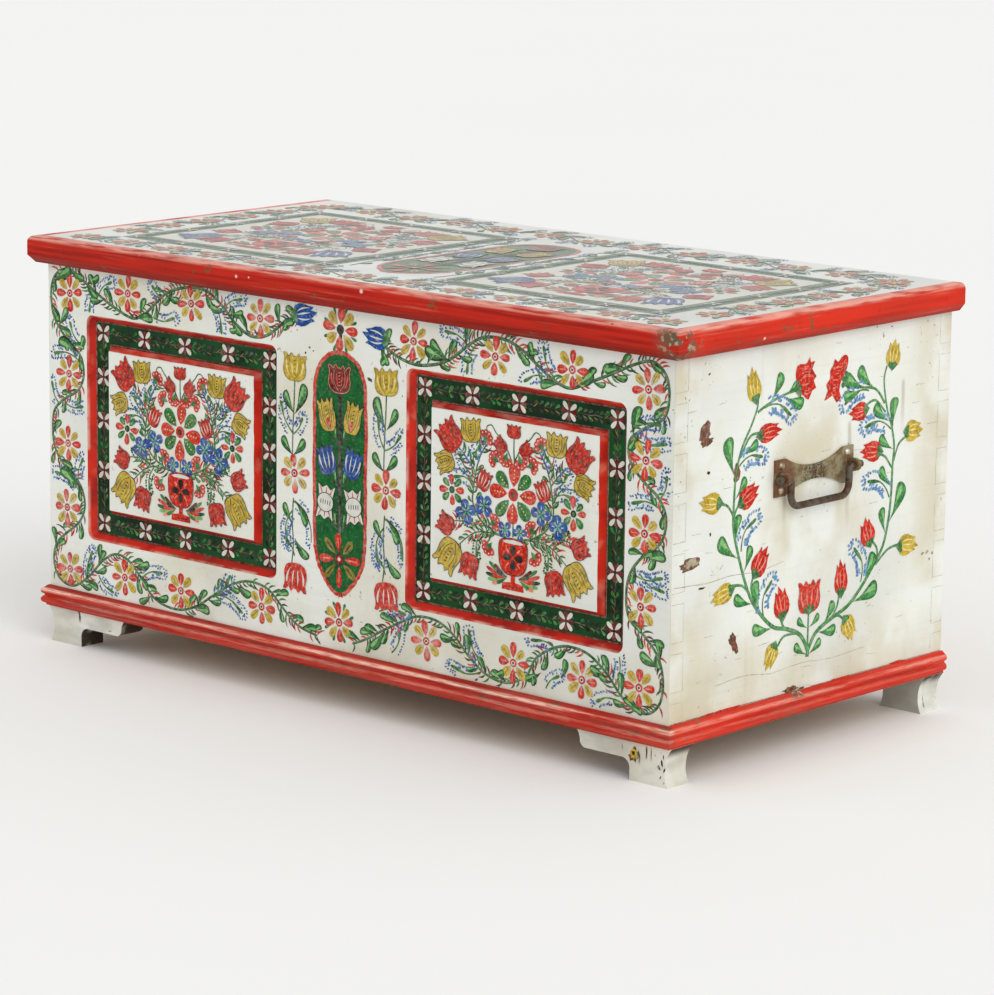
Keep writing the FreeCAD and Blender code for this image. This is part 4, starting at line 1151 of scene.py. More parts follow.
def wrapped_bud(c, x, y, wide, tall, turn):
    """A white bud: a round body with petals that flare above and below it."""
    def at(px, py):
        return Vector((x, y)) + turned(px * wide, py * tall, turn)

    for way in (-1, 1):
        petals = [at(px, py * way) for px, py in FLARE]
        c.patch(petals, "white", 4, [0.0] * len(petals))
        c.ribbon(petals, 0.9, "ink", 5)
        for px in (-0.38, 0.0, 0.38):
            c.stroke(at(px * 0.5, 0.2 * way), at(px, 0.45 * way), 1.9, "red", 5, SPIKE)
    angles = [math.tau * k / BODY_POINTS for k in range(BODY_POINTS)]
    body = [at(0.46 * math.cos(angle), 0.27 * math.sin(angle)) for angle in angles]
    c.patch(body, "white", 6, [0.0] * len(body))
    c.ribbon(body, 1.0, "ink", 7, closed=True)
    for k in range(5):
        c.stroke(at(0.13 * k - 0.27, -0.07), at(0.13 * k - 0.25, 0.08), 1.3, "ink", 7, DASH, fade=0)


print("a white bud's body has", BODY_POINTS, "points")

# %% [markdown]
# ## The front
# A scroll of stems runs all round the front and swings from side to side of the daisies on it. Beside the
# key hole two blue tulips end it. The key hole itself is the eye of a flower. Places were read from the
# photograph, because a border drawn by rule would miss the way the painter fitted it to the windows.

# %% Room on the front
WINDOW_WIDE, WINDOW_TALL = 184, 157
FRONT_WIDE, FRONT_LOW, FRONT_HIGH = 547, 79, 533


def front_room(x, z):
    """On the board, under the lid and above the moulding, and not over a window."""
    beside = abs(abs(x) - PANEL_X / MM) > WINDOW_WIDE or abs(z - PANEL_Z / MM) > WINDOW_TALL
    return beside and abs(x) < FRONT_WIDE and FRONT_LOW < z < FRONT_HIGH


front = Canvas("front_border_painting", "case", (0, FRONT, 0), (1, 0, 0), (0, 0, 1), room=front_room)
print("the front is painted from", FRONT_LOW, "to", FRONT_HIGH, "mm above the floor")

# %% Stems and daisies of the border
LEFT_STEM = [
    (-63, 505), (-86, 500), (-107, 488), (-132, 472), (-161, 468), (-189, 481), (-211, 499), (-236, 515),
    (-261, 520), (-296, 515), (-321, 505), (-343, 488), (-364, 472), (-386, 466), (-421, 477), (-450, 490),
    (-475, 503), (-507, 518), (-532, 511), (-544, 490), (-541, 455), (-523, 431), (-500, 414), (-485, 400),
    (-481, 376), (-493, 355), (-518, 341), (-539, 324), (-544, 299), (-540, 272), (-525, 252), (-500, 236),
    (-485, 218), (-481, 195), (-493, 173), (-518, 155), (-538, 138), (-544, 114), (-535, 92), (-513, 83),
    (-493, 88), (-468, 106), (-446, 127), (-421, 140), (-396, 136), (-371, 116), (-350, 95), (-325, 85),
    (-293, 84), (-261, 95), (-229, 115), (-196, 134), (-164, 143), (-129, 138), (-100, 116), (-75, 99),
    (-40, 91),
]
RIGHT_STEM = [
    (60, 490), (82, 480), (107, 470), (136, 466), (171, 472), (196, 484), (221, 502), (246, 514),
    (279, 515), (307, 506), (336, 488), (361, 474), (386, 468), (414, 478), (450, 493), (486, 509),
    (514, 516), (535, 503), (541, 477), (533, 450), (500, 432), (481, 416), (483, 391), (504, 370),
    (529, 352), (540, 327), (532, 299), (507, 281), (486, 256), (480, 227), (486, 199), (511, 181),
    (532, 159), (540, 131), (536, 104), (519, 88), (496, 88), (475, 102), (450, 127), (421, 145),
    (389, 149), (361, 141), (336, 124), (321, 100), (289, 86), (254, 91), (225, 109), (200, 131),
    (171, 145), (136, 145), (104, 131), (75, 116), (50, 102), (24, 91),
]
DAISIES = [
    (-507, 486), (-393, 498), (-272, 498), (-144, 493), (127, 495), (264, 492), (389, 491), (509, 482),
    (-510, 376), (-513, 280), (-516, 191), (-511, 106), (-402, 111), (-293, 110), (-141, 113), (153, 116),
    (300, 113), (412, 111), (503, 117), (507, 396), (507, 307), (503, 217),
]
SPRAY_X = 81
DAISY_CLEAR = 27


def off_daisies(spot):
    return all((spot - Vector(place)).length > DAISY_CLEAR for place in DAISIES) and front_room(*spot)


for path in (LEFT_STEM, RIGHT_STEM):
    stem(front, path, 4.2, 3.2, fringe=0.65)
    leafy(front, path, 17, 24, off_daisies)
for x, z in DAISIES:
    daisy(front, x, z, 25, fade=chance.choice((0.1, 0.2, 0.45)))
for hand in (-1, 1):
    daisy(front, hand * SPRAY_X, 299, 26, fade=0.45 - 0.3 * hand)
print("border stems and", len(DAISIES), "daisies")

# %% [markdown]
# ### Leaves and sprigs of the border
# Larger leaves and blue sprigs fill the bends of the stem. Their ends are placed one by one, and each
# leaf's foot is moved to the nearest point of a stem, so that none hangs loose.

# %% Leaves and sprigs of the border
BORDER_LEAVES = [
    (-532, 497, -505, 521), (-505, 521, -478, 508), (-475, 508, -449, 515), (-474, 502, -452, 485),
    (-380, 466, -345, 468), (-368, 474, -360, 493), (-318, 500, -294, 499), (-246, 514, -231, 496),
    (-204, 488, -175, 497), (-200, 486, -177, 467), (-104, 488, -112, 516), (-109, 481, -83, 495),
    (-529, 445, -513, 466), (-493, 402, -483, 425), (-493, 404, -531, 419), (-543, 288, -528, 308),
    (-489, 216, -529, 242), (-493, 209, -479, 228), (-540, 136, -545, 160), (-540, 127, -520, 144),
    (-482, 91, -455, 86), (-450, 115, -440, 141), (-382, 131, -354, 137), (-375, 120, -361, 104),
    (-345, 87, -317, 97), (-350, 93, -370, 84), (-275, 87, -238, 90), (-277, 87, -265, 107),
    (-186, 136, -160, 124), (-118, 131, -92, 139), (-68, 92, -40, 99), (-79, 98, -70, 83),
    (82, 482, 87, 505), (93, 475, 78, 464), (182, 484, 156, 500), (182, 482, 146, 489),
    (329, 493, 320, 517), (371, 468, 338, 465), (389, 475, 422, 492), (471, 500, 440, 496),
    (532, 463, 546, 474), (300, 505, 320, 488), (482, 427, 497, 460), (500, 370, 478, 364),
    (507, 274, 541, 282), (500, 266, 519, 285), (529, 149, 530, 176), (529, 145, 503, 160),
    (68, 109, 37, 109), (82, 116, 56, 91), (200, 129, 195, 148), (207, 125, 176, 127), (261, 89, 281, 98),
    (346, 109, 320, 97), (400, 145, 370, 150), (454, 124, 444, 148), (454, 122, 424, 129),
    (379, 106, 385, 132), (475, 88, 507, 86), (96, 126, 76, 136),
]
BORDER_SPRIGS = [
    (-450, 490, -424, 510), (-457, 493, -469, 464), (-345, 472, -303, 475), (-325, 500, -347, 514),
    (-211, 498, -176, 514), (-230, 502, -215, 464), (-489, 395, -541, 401), (-489, 420, -508, 448),
    (-529, 331, -545, 362), (-520, 336, -482, 334), (-493, 218, -541, 237), (-493, 227, -483, 264),
    (-475, 95, -466, 138), (-454, 106, -424, 86), (-368, 116, -328, 128), (-232, 111, -199, 146),
    (-225, 115, -176, 98), (221, 498, 179, 514), (232, 502, 217, 464), (346, 477, 311, 467),
    (361, 477, 342, 515), (482, 427, 530, 442), (484, 424, 540, 420), (529, 352, 540, 382),
    (529, 341, 485, 341), (489, 256, 537, 257), (71, 141, 118, 144), (93, 91, 108, 121),
    (250, 102, 224, 144), (246, 92, 195, 92), (371, 141, 328, 147), (354, 90, 376, 110),
    (464, 113, 471, 150), (468, 95, 435, 88), (500, 258, 540, 240),
]
border_roots = smooth(LEFT_STEM) + smooth(RIGHT_STEM)
for line in BORDER_LEAVES:
    leaf(front, *rooted(line, border_roots, shortest=27), wide=0.38, bend=chance.choice((-0.09, 0.09)))
for line in BORDER_SPRIGS:
    sprig(front, *line, bend=chance.choice((-0.12, 0.12)))
bud(front, -62, 507, 30, 44, -82, "blue", "white")
bud(front, 60, 492, 30, 44, 88, "blue", "white")
print(len(BORDER_LEAVES), "leaves,", len(BORDER_SPRIGS), "sprigs, two tulips")

# %% [markdown]
# ### Between the windows
# Two upright sprays stand beside the middle: a yellow tulip on a leafy stem above, a pale daisy, and below
# it a dotted stem that hangs down to a red tulip. The key hole flower and the daisy under it stand on the
# middle line.

# %% Middle sprays
OVAL_Z, OVAL_CLEAR_X, OVAL_CLEAR_Z = 308, 52, 160


def beside_oval(x, z):
    return front_room(x, z) and (abs(x) > OVAL_CLEAR_X or abs(z - OVAL_Z) > OVAL_CLEAR_Z)


def upper_spray(x, hand):
    """A yellow tulip on a stem with leaves and sprigs in pairs."""
    stem(front, [(x, 425), (x - 1, 395), (x - 3, 362), (x - 4, 322)], 2.2)
    tulip(front, x, 438, 40, 36, 3 * hand, "yellow", "olive", 4, "straw")
    for side in (-1, 1):
        leaf(front, x, 376, x + side * 18, 411 - 6 * side * hand, 0.36, 0.08 * side)
        leaf(front, x - 3, 322, x + side * 20 - 2, 345, 0.4, 0.08 * side)
        sprig(front, x - 2, 350, x + side * (20 + 6 * side * hand), 382 - 9 * side, 0.1 * side)


def lower_spray(x, hand):
    """A stem that hangs down to a red tulip."""
    stem(front, [(x - 2, 266), (x - 4, 235), (x - 2, 205), (x - 5, 178)], 2.0)
    leaf(front, x - 3, 232, x - 19, 258, 0.34, -0.08)
    leaf(front, x, 264, x + 22, 232, 0.34, -0.1)
    leaf(front, x, 214, x + 26, 190, 0.36, 0.1)
    sprig(front, x - 2, 262, x + 30, 212, -0.2)
    sprig(front, x - 3, 250, x - 14, 205, 0.16)
    sprig(front, x, 190, x - 14, 210, 0.1)
    tulip(front, x + 2, 161, 40, 38, 180 + 4 * hand, "red", "red", 0, "white")


front.room = beside_oval
for hand in (-1, 1):
    upper_spray(hand * SPRAY_X, hand)
    lower_spray(hand * SPRAY_X, hand)
front.room = front_room
print("middle sprays painted")

# %% Flowers of the middle line
KEY_FLOWER, LOW_FLOWER = (0, 495), (0, 115)
daisy(front, *KEY_FLOWER, 30, hearts=("ink",), fade=0.2)
daisy(front, *LOW_FLOWER, 26, fade=0.2)
for centre, radius in ((KEY_FLOWER, 29), (LOW_FLOWER, 26)):
    for k in range(8):
        turn = 22.5 + 45 * k
        foot, tip = polar(centre, radius * 0.62, turn), polar(centre, radius * 1.06, turn)
        front.stroke(foot, tip, 4.2, "green", 2, LEAF)
print("key hole flower and low daisy painted")

# %% [markdown]
# ### The oval
# A tall green shape with a round head and a pointed foot is painted flat between the windows, edged in red.
# A dark stem carries four pairs of tulips over an eight-petalled flower. The same oval comes back, larger,
# on the lid.

# %% Ground and stem of the oval
OVAL_HALF = [
    (0, 157), (19, 153), (34, 141), (43, 121), (45, 92), (46, 40), (45, -30), (45, -78), (43, -103),
    (36, -124), (22, -143), (8, -155), (0, -157),
]
LINE_INSIDE = 0.93


def oval_ground(c, spot, edge):
    """The green shape with its red edge and a dark line inside it, drawn a little unsteadily."""
    rim = smooth([spot(x, y) for x, y in [*OVAL_HALF, *((-x, y) for x, y in OVAL_HALF[-2:0:-1])]], 5, True)
    rim = [p + Vector((chance.uniform(-0.9, 0.9), chance.uniform(-0.9, 0.9))) for p in rim]
    c.patch(rim, "ground", 0, [0.0] * len(rim))
    c.ribbon(rim, edge, "red", 1, closed=True)
    middle = Vector(spot(0, 0))
    c.ribbon([middle + (p - middle) * LINE_INSIDE for p in rim], 1.2, "deep_green", 1, closed=True)


def oval_stem(c, spot, size):
    c.ribbon([spot(0, 112), spot(1, 60), spot(-1, 0), spot(1, -50), spot(0, -82)], 5.0 * size, "ink", 2, 4.0)
    for k in range(30):
        y = 108 - 6.2 * k
        for hand in (-1, 1):
            c.stroke(spot(0, y), spot(hand * chance.uniform(5, 9), y + 7), 1.8, "ink", 2, SPIKE)


print("half of the oval's edge has", len(OVAL_HALF), "points")


# %% Paint the oval
def oval(c, x0, y0, kx, ky):
    size = (kx + ky) / 2

    def spot(x, y):
        return x0 + x * kx, y0 + y * ky

    oval_ground(c, spot, 5.4 * ky)
    oval_stem(c, spot, size)
    tulip(c, *spot(-1, 124), 38 * size, 36 * size, 0, "dark_red", "rose", 5, "red")
    for hand in (-1, 1):
        tulip(c, *spot(23 * hand, 76), 29 * size, 44 * size, -14 * hand, "yellow", "ink", 5, "olive")
        c.stroke(spot(15 * hand, 55), spot(22 * hand, 70), 8 * size, "red", 5, LEAF, fade=0.4)
        tulip(c, *spot(23 * hand, 17), 31 * size, 40 * size, -16 * hand, "blue", "ink", 5, "white")
        wrapped_bud(c, *spot(25 * hand, -39), 31 * size, 46 * size, 6 * hand)
        for y in (46, -10, -66):
            c.stroke(spot(0, y - 6), spot(20 * hand, y + 8), 2.4, "ink", 2, SPIKE, 0.1 * hand)
            leaf(c, *spot(4 * hand, y - 8), *spot(9 * hand, y + 16), 0.3, 0.08 * hand)
    heart = spot(0, -110)
    daisy(c, *heart, 35 * size, "red", "olive", ("dark_red", "red", "white"), 0.0, "ink", 0.7)
    for k in range(8):
        turn = 22 + 45 * k
        c.stroke(polar(heart, 8 * size, turn), polar(heart, 17 * size, turn), 1.6, "ink", 2, SPIKE)


oval(front, 0, OVAL_Z, 1.0, 1.0)
front.done()

# %% [markdown]
# ## The bouquets in the windows
# In each white field stands a bouquet in a red goblet. It is nearly the same left and right, so one half is
# placed and mirrored, with the small differences that a hand makes. It is made as it was painted: the
# goblet, the stems, the flowers on them and then the green between.

# %% Paint the goblet
BOWL = [
    (-22, 19), (-23.5, 4), (-21, -11), (-13, -20), (0, -22), (13, -20), (21, -11), (23.5, 4), (22, 19),
    (12, 23), (0, 24), (-12, 23),
]
FOOT = [(-3.5, -20), (-3.5, -31), (-17, -33), (-18, -41), (18, -41), (17, -33), (3.5, -31), (3.5, -20)]
GOBLET_SPRAYS = [
    ("green", 44, -10), ("red", 49, -17), ("deep_green", 50, -25), ("pale_green", 46, -32), ("rose", 38, -37),
    ("dark_red", 34, -12), ("green", 30, -35), ("red", 38, -27), ("deep_green", 30, -20),
]


def goblet(c, spot, size):
    """A red bowl on a foot, with a dark cross on it, and a spray of leaves out of each side of the foot."""
    def at(x, y):
        return spot(2, -62) + Vector((x, y)) * size

    rim = smooth([at(x, y) for x, y in BOWL], 3, True)
    c.patch([at(x, y) for x, y in FOOT], "red", 4, [0.0] * len(FOOT))
    c.patch(rim, "red", 5, [0.0] * len(rim))
    c.ribbon(rim, 1.6, "dark_red", 6, closed=True)
    c.stroke(at(-17, 19), at(17, 19), 5 * size, "white", 6, DASH, -0.03, 0)
    c.stroke(at(-14, -37), at(14, -37), 1.6, "dark_red", 6, DASH)
    for k in range(4):
        away = turned(0, 1, 90 * k)
        c.stroke(at(*away * 1.5), at(*away * 16), 9 * size, "ink", 7, PETAL, fade=0)
        away = turned(0, 1, 90 * k + 45)
        c.stroke(at(*away * 9), at(*away * 17), 2.2 * size, "rose", 6, DASH)
    for hand in (-1, 1):
        for paint, x, y in GOBLET_SPRAYS:
            c.stroke(at(9 * hand, -25), at(x * hand * 0.9, y), 5.0 * size, paint, 3, LEAF, 0.05 * hand)


print("the goblet's bowl has", len(BOWL), "points and its foot", len(FOOT))

# %% Stems of a bouquet
LEAFY_STEMS = [
    (
        [(10, -38), (24, -36), (38, -31), (55, -20), (66, -2), (65, 18), (60, 43), (52, 63), (42, 76)],
        2.8, 1.8, 0.5,
    ),
    ([(18, -37), (47, -36), (63, -40), (77, -49), (90, -60)], 2.2, 1.2, 0.5),
    ([(62, 36), (74, 50), (90, 64)], 2.0, 1.4, 0.6),
]
FINE_STEMS = [
    ([(66, 16), (80, 34), (102, 37)], 1.8, 1.2, 0.0),
    ([(47, -36), (76, -28), (100, -30)], 1.8, 1.2, 0.3),
    ([(2, 58), (14, 78), (28, 90), (36, 99), (44, 96), (42, 88)], 2.0, 1.0, 0.0),
]


def bouquet_stems(c, half, size):
    for points, width, end, fringe in LEAFY_STEMS:
        stem(c, [half(x, y) for x, y in points], width, end, fringe)
    for points, *_ in LEAFY_STEMS:
        leafy(c, [half(x, y) for x, y in points], 13 * size, 11 * size)
    for points, width, end, fringe in FINE_STEMS:
        stem(c, [half(x, y) for x, y in points], width, end, fringe)


print("each half has", len(LEAFY_STEMS) + len(FINE_STEMS), "stems")

# %% Flowers of a bouquet
TULIP_LINES = {"red": ("dark_red", 0, "dark_red"), "yellow": ("ink", 5, "olive"), "blue": ("ink", 4, "white")}
BOUQUET_TULIPS = [
    (106, 79, 37, 41, -40, "red", "yellow"), (71, 88, 33, 31, -4, "yellow", "red"),
    (115, 42, 28, 31, -112, "yellow", "red"), (112, -34, 26, 28, -64, "red", "red"),
    (107, -74, 38, 44, -146, "yellow", "blue"), (71, -84, 30, 32, -168, "red", "red"),
]
SMALL_TULIPS = [(20, 76, 18, 22, -48, "dark_red"), (49, 30, 22, 27, 24, "white")]
PINKS = [(45, 82, 40), (28, 57, -70), (11, 62, -160), (33, -22, 60), (37, -54, -140)]
BLUE_FLOWERS = [(47, -2, 15.5), (75, -14, 16.5), (13, -28, 11)]


def blue_flower(c, heart, radius, size):
    """Four blue petals, each with a white line, and green tips between them."""
    lean = chance.uniform(0, 60)
    for turn in (0, 82, 176, 268):
        tip = polar(heart, radius * size * chance.uniform(0.9, 1.15), turn + lean)
        c.stroke(heart, tip, radius * 0.82 * size, "blue", 4, fade=0.05)
        c.stroke(heart.lerp(tip, 0.3), heart.lerp(tip, 0.7), 1.2, "white", 5, SPIKE, 0.1)
        c.stroke(heart, polar(heart, radius * 0.5 * size, turn + lean + 41), 3.4, "pale_green", 5, LEAF)


def bouquet_flowers(c, put, hand, size, on_lid):
    """The flowers of one half, put where they grow, give or take a little."""
    for x, y, wide, tall, turn, front_paint, lid_paint in BOUQUET_TULIPS:
        paint = lid_paint if on_lid else front_paint
        tulip(c, *put(x, y), wide * size, tall * size, turn * hand, paint, *TULIP_LINES[paint])
    for x, y, wide, tall, turn, streak in SMALL_TULIPS:
        tulip(c, *put(x, y), wide * size, tall * size, turn * hand, "red", "dark_red", 0, streak)
    for x, y, turn in PINKS:
        pink(c, *put(x, y), 12.5 * size, turn * hand)
    daisy(c, *put(100, 8), 21 * size, "red", "green", ("deep_green", "green"), 0.1, "pale_green")
    for x, y, radius in BLUE_FLOWERS:
        blue_flower(c, put(x, y), radius, size)


print("each half has", len(BOUQUET_TULIPS + SMALL_TULIPS + PINKS + BLUE_FLOWERS) + 1, "flowers")

# %% Put a bouquet together
BOUQUET_SPRIGS = [
    (67, 46, 53, 73, 0.12, "blue", 6.8), (65, 20, 99, 26, -0.16, "blue", 6.8),
    (70, 34, 88, 54, 0.1, "blue", 6.8),
    (50, -38, 58, -70, -0.16, "deep_green", 4.0), (58, -28, 88, -20, 0.12, "deep_green", 4.0),
]
BOUQUET_LEAVES = [(64, 8, 74, 18), (62, 2, 52, 12), (60, 40, 48, 46), (58, 52, 66, 62), (40, -32, 46, -44)]
SHAKE = 1.5


def bouquet(c, x0, y0, kx=1.0, ky=1.0, on_lid=False):
    size = (kx + ky) / 2

    def spot(x, y):
        return Vector((x0 + x * kx, y0 + y * ky))

    goblet(c, spot, size)
    daisy(c, *spot(1, 17), 37 * size, "red", "green", ("red", "dark_red"), 0.06, plump=1.12, dotted=True)
    stem(c, [spot(1, -36), spot(1, -24), spot(1, -16)], 2.4)
    stem(c, [spot(2, 56), spot(1, 72), spot(1, 90)], 2.2)
    tulip(c, *spot(1, 96), 22 * size, 17 * size, 0, "red", "dark_red", 0)
    for hand in (-1, 1):

        def half(x, y):
            return spot(hand * x, y)

        def put(x, y):
            return spot(hand * x + chance.uniform(-SHAKE, SHAKE), y + chance.uniform(-SHAKE, SHAKE))

        bouquet_stems(c, half, size)
        bouquet_flowers(c, put, hand, size, on_lid)
        for x, y, px, py, bend, dots, reach in BOUQUET_SPRIGS:
            sprig(c, *half(x, y), *half(px, py), bend * hand, dots, reach)
        for x, y, px, py in BOUQUET_LEAVES:
            leaf(c, *half(x, y), *half(px, py), 0.4, 0.06 * hand)


def field_room(x, y):
    return abs(x) < 135 and abs(y) < 106


for name, hand in (("left", -1), ("right", 1)):
    middle = (hand * PANEL_X, FIELD, PANEL_Z)
    field = Canvas(f"{name}_bouquet_painting", "case", middle, (1, 0, 0), (0, 0, 1), room=field_room)
    bouquet(field, 0, 0)
    field.done()

# %% [markdown]
# ### The green bands
# Round each bouquet, down in the sunk band, white four-petalled flowers with dark red crosses sit on a dark
# leafy vine. The same band frames the bouquets on the lid, where it is painted flat, so one function draws
# both.


# %% Flower and vine of a band
def cross_flower(c, x, y, size):
    for k in range(4):
        turn = 45 + 90 * k + chance.uniform(-6, 6)
        c.stroke(polar((x, y), 2.0, turn), polar((x, y), 15 * size, turn), 6.0 * size, "white", 4, fade=0.0)
        foot, tip = polar((x, y), 1.0, turn + 45), polar((x, y), 12.5 * size, turn + 45)
        c.stroke(foot, tip, 6.4 * size, "dark_red", 3, fade=0.0)
    disc(c, (x, y), 1.8 * size, "ink", 5, 6)


VINE_PAINTS = ("deep_green", "ink", "ink", "green")


def vine(c, start, end, size):
    """A wavering dark line with a pair of leaves at each step and a light spike at every other."""
    along = Vector(end) - Vector(start)
    count = max(2, round(along.length / (9 * size)))
    beside = Vector((along.y, -along.x)).normalized()
    path = [Vector(start) + along * k / count + beside * math.sin(2.2 * k) for k in range(count + 1)]
    c.ribbon(path, 1.4, "ink", 1)
    for k in range(1, count + 1):
        root = Vector(start) + along * (k - 0.5) / count
        for hand in (-1, 1):
            tip = root + along.normalized() * 8 * size + beside * hand * chance.uniform(5, 8) * size
            c.stroke(root, tip, 4.4 * size, chance.choice(VINE_PAINTS), 2, LEAF, 0.1 * hand, 0)
        if k % 2:
            tip = root + along.normalized() * 9 * size + beside * chance.choice((-5, 5)) * size
            c.stroke(root + beside * 2, tip, 1.3 * size, "olive", 3, SPIKE, fade=0)


print("vine leaves in", ", ".join(sorted(set(VINE_PAINTS))))


# %% Paint the bands
def band(c, x0, y0, wide, tall, size=1.0):
    """Flowers and vine along the middle of a band, given half its width and height."""
    across = [-1, -0.49, 0, 0.51, 1]
    upright = [-1, -0.44, 0.08, 0.54, 1]
    spots = []
    for hand in (-1, 1):
        spots.append([(x0 + wide * share, y0 + tall * hand) for share in across])
        spots.append([(x0 + wide * hand, y0 + tall * share) for share in upright])
    for row in spots:
        for a, b in zip(row, row[1:]):
            vine(c, a, b, size)
    for x, y in sorted({spot for row in spots for spot in row}):
        cross_flower(c, x, y, size)


def crease_shade_line(c, wide, tall, corner, width, paint):
    """A line round a frame with rounded corners, given half its width and height."""
    path = []
    for turn, x, y in ((0, 1, 1), (90, -1, 1), (180, -1, -1), (270, 1, -1)):
        middle = Vector((x * (wide - corner), y * (tall - corner)))
        path += [middle + turned(corner, 0, turn + step) for step in (0, 30, 60, 90)]
    c.ribbon(path, width, paint, 1, closed=True)


for name, hand in (("left", -1), ("right", 1)):
    middle = (hand * PANEL_X, BAND, PANEL_Z)
    frame_canvas = Canvas(f"{name}_band_painting", "case", middle, (1, 0, 0), (0, 0, 1))
    band(frame_canvas, 0, 0, 158, 130)
    # Two dark red lines are painted shade: in the crease where the lip meets the band, and at the foot of the
    # slope.
    crease_shade_line(frame_canvas, 171.5, 144.5, 5, 2.2, "dark_red")
    crease_shade_line(frame_canvas, 144.4, 115.4, 1.5, 2.0, "dark_red")
    frame_canvas.done()

# %% [markdown]
# ## The sides
# On each side an open wreath of red and yellow tulips grows from one stem under the handle and almost
# closes above it. The right one follows the photograph. The left side isn't seen and has the same wreath,
# as pairs usually do. Its stems are curves through placed points, and every leaf is rooted on the nearest
# of them.

# %% Places of the wreath
WREATH_STEMS = [
    [
        (-8, 118), (-8, 127), (-23, 148), (-50, 160), (-77, 167), (-103, 187), (-123, 210), (-137, 237),
        (-150, 270), (-160, 303), (-160, 337), (-157, 370), (-147, 400), (-130, 425), (-119, 446),
        (-118, 458),
    ],
    [
        (-8, 118), (-6, 127), (10, 147), (43, 160), (73, 170), (100, 190), (123, 213), (143, 237),
        (153, 270), (157, 303), (158, 337), (160, 363), (153, 390), (143, 412), (135, 448), (140, 467),
    ],
    [(-8, 118), (-7, 176)],
    [(-118, 440), (-100, 447), (-70, 455), (-40, 458)],
    [(138, 420), (118, 440), (87, 446), (55, 452)],
    [(-188, 337), (-172, 332), (-160, 317)],
    [(-160, 232), (-137, 227), (-117, 203)],
    [(-68, 141), (-55, 152), (-27, 151)],
    [(-63, 175), (-54, 161), (-33, 153)],
    [(-118, 240), (-123, 224), (-116, 204)],
    [(-143, 333), (-155, 326), (-160, 312)],
    [(-110, 414), (-132, 412), (-150, 388)],
    [(190, 373), (170, 364), (160, 343)],
    [(178, 233), (153, 230), (128, 214)],
    [(67, 152), (55, 160), (43, 160)],
    [(55, 188), (50, 172), (38, 158)],
    [(118, 247), (130, 235), (131, 219)],
    [(128, 357), (143, 350), (156, 335)],
    [(97, 421), (118, 426), (140, 408)],
]
WREATH_LEAVES = [
    (-8, 120, -34, 137), (-8, 153, -29, 169), (-77, 163, -119, 171), (-103, 190, -116, 231),
    (-120, 201, -156, 216), (-135, 242, -126, 277), (-152, 265, -188, 293), (-146, 283, -149, 319),
    (-160, 340, -138, 363), (-170, 365, -174, 416), (-147, 393, -116, 404), (-97, 448, -72, 483),
    (-70, 455, -28, 440), (-66, 455, -42, 468), (-6, 120, 19, 136), (-6, 150, 14, 169), (20, 154, 43, 181),
    (10, 145, 49, 145), (77, 175, 133, 188), (98, 193, 124, 231), (143, 252, 138, 286),
    (155, 263, 181, 313), (156, 310, 132, 338), (157, 357, 129, 378), (162, 383, 160, 425),
    (152, 397, 116, 419), (120, 442, 82, 471), (98, 446, 54, 463), (92, 444, 52, 438),
]
WREATH_SPRIGS = [
    (-105, 444, -52, 428, -0.16), (-152, 378, -106, 384, -0.16), (-144, 272, -116, 309, -0.2),
    (-97, 183, -82, 227, -0.2), (104, 440, 54, 428, 0.14), (152, 385, 97, 394, 0.16),
    (153, 297, 106, 324, 0.18), (98, 196, 82, 243, 0.2),
]
RED_BUDS = [
    (-92, 413, 24, 46, -84), (-130, 340, 28, 42, -64), (-105, 255, 30, 42, -36), (-63, 197, 31, 42, 10),
    (57, 210, 27, 46, 2), (108, 260, 30, 38, 22), (110, 362, 27, 44, 82), (82, 415, 24, 38, 96),
]
YELLOW_BUDS = [
    (-128, 476, 27, 44, 16), (-207, 340, 27, 42, 84), (-181, 223, 25, 44, 104), (-82, 129, 25, 36, 152),
    (153, 482, 30, 36, -8), (202, 377, 28, 38, -92), (197, 230, 28, 42, -92), (77, 140, 28, 36, -146),
]
GREEN_CUPS = [(-7, 174, 0), (-46, 460, -70), (60, 460, 66)]
print("a wreath has", len(WREATH_STEMS), "stems and", len(RED_BUDS + YELLOW_BUDS), "buds")


# %% Paint the wreaths
def wreath(c):
    for path in WREATH_STEMS:
        stem(c, path, 6.0 if len(path) > 10 else 3.6, 2.6, tones=SUNNY)
    roots = [point for path in WREATH_STEMS for point in smooth(path)]
    for line in WREATH_LEAVES:
        leaf(c, *rooted(line, roots), 0.38, 0.07 if line[2] > line[0] else -0.07, LONG_LEAF, SUNNY)
    for line in WREATH_SPRIGS:
        sprig(c, *line, dots="sky", reach=8.5, plump=1.4)
    for line in RED_BUDS:
        bud(c, *line, "red", "rose")
    for line in YELLOW_BUDS:
        bud(c, *line, "yellow", "straw")
    tulip(c, -7, 195, 43, 42, 0, "red", "red", 0, "rose")
    frilled(c, -25, 470, 41, 53, LEFT_FRILL)
    frilled(c, 36, 462, 46, 58, RIGHT_FRILL)
    for x, y, turn in GREEN_CUPS:
        for spread in (-44, 0, 44):
            c.stroke((x, y - 3), polar((x, y - 3), 14, turn + spread), 7, "green", 6, LEAF)


for name, hand in (("left", -1), ("right", 1)):
    side = Canvas(f"{name}_wreath_painting", "case", (hand * SIDE, MIDDLE, 0), (0, hand, 0), (0, 0, 1))
    wreath(side)
    side.done()

# %% [markdown]
# ## The lid
# The lid repeats the front, all of it flat: two green bands round bouquets, the oval between them, and a
# garland of daisies round the edge. Only a slant of it shows in the photograph, so the small flowers follow
# the front, and the garlands are drawn by rule: daisies in a row, and a stem that swings from side to side
# of them.

# %% A garland
SPRIG_EVERY, SPRIG_LEAN = 3, 48


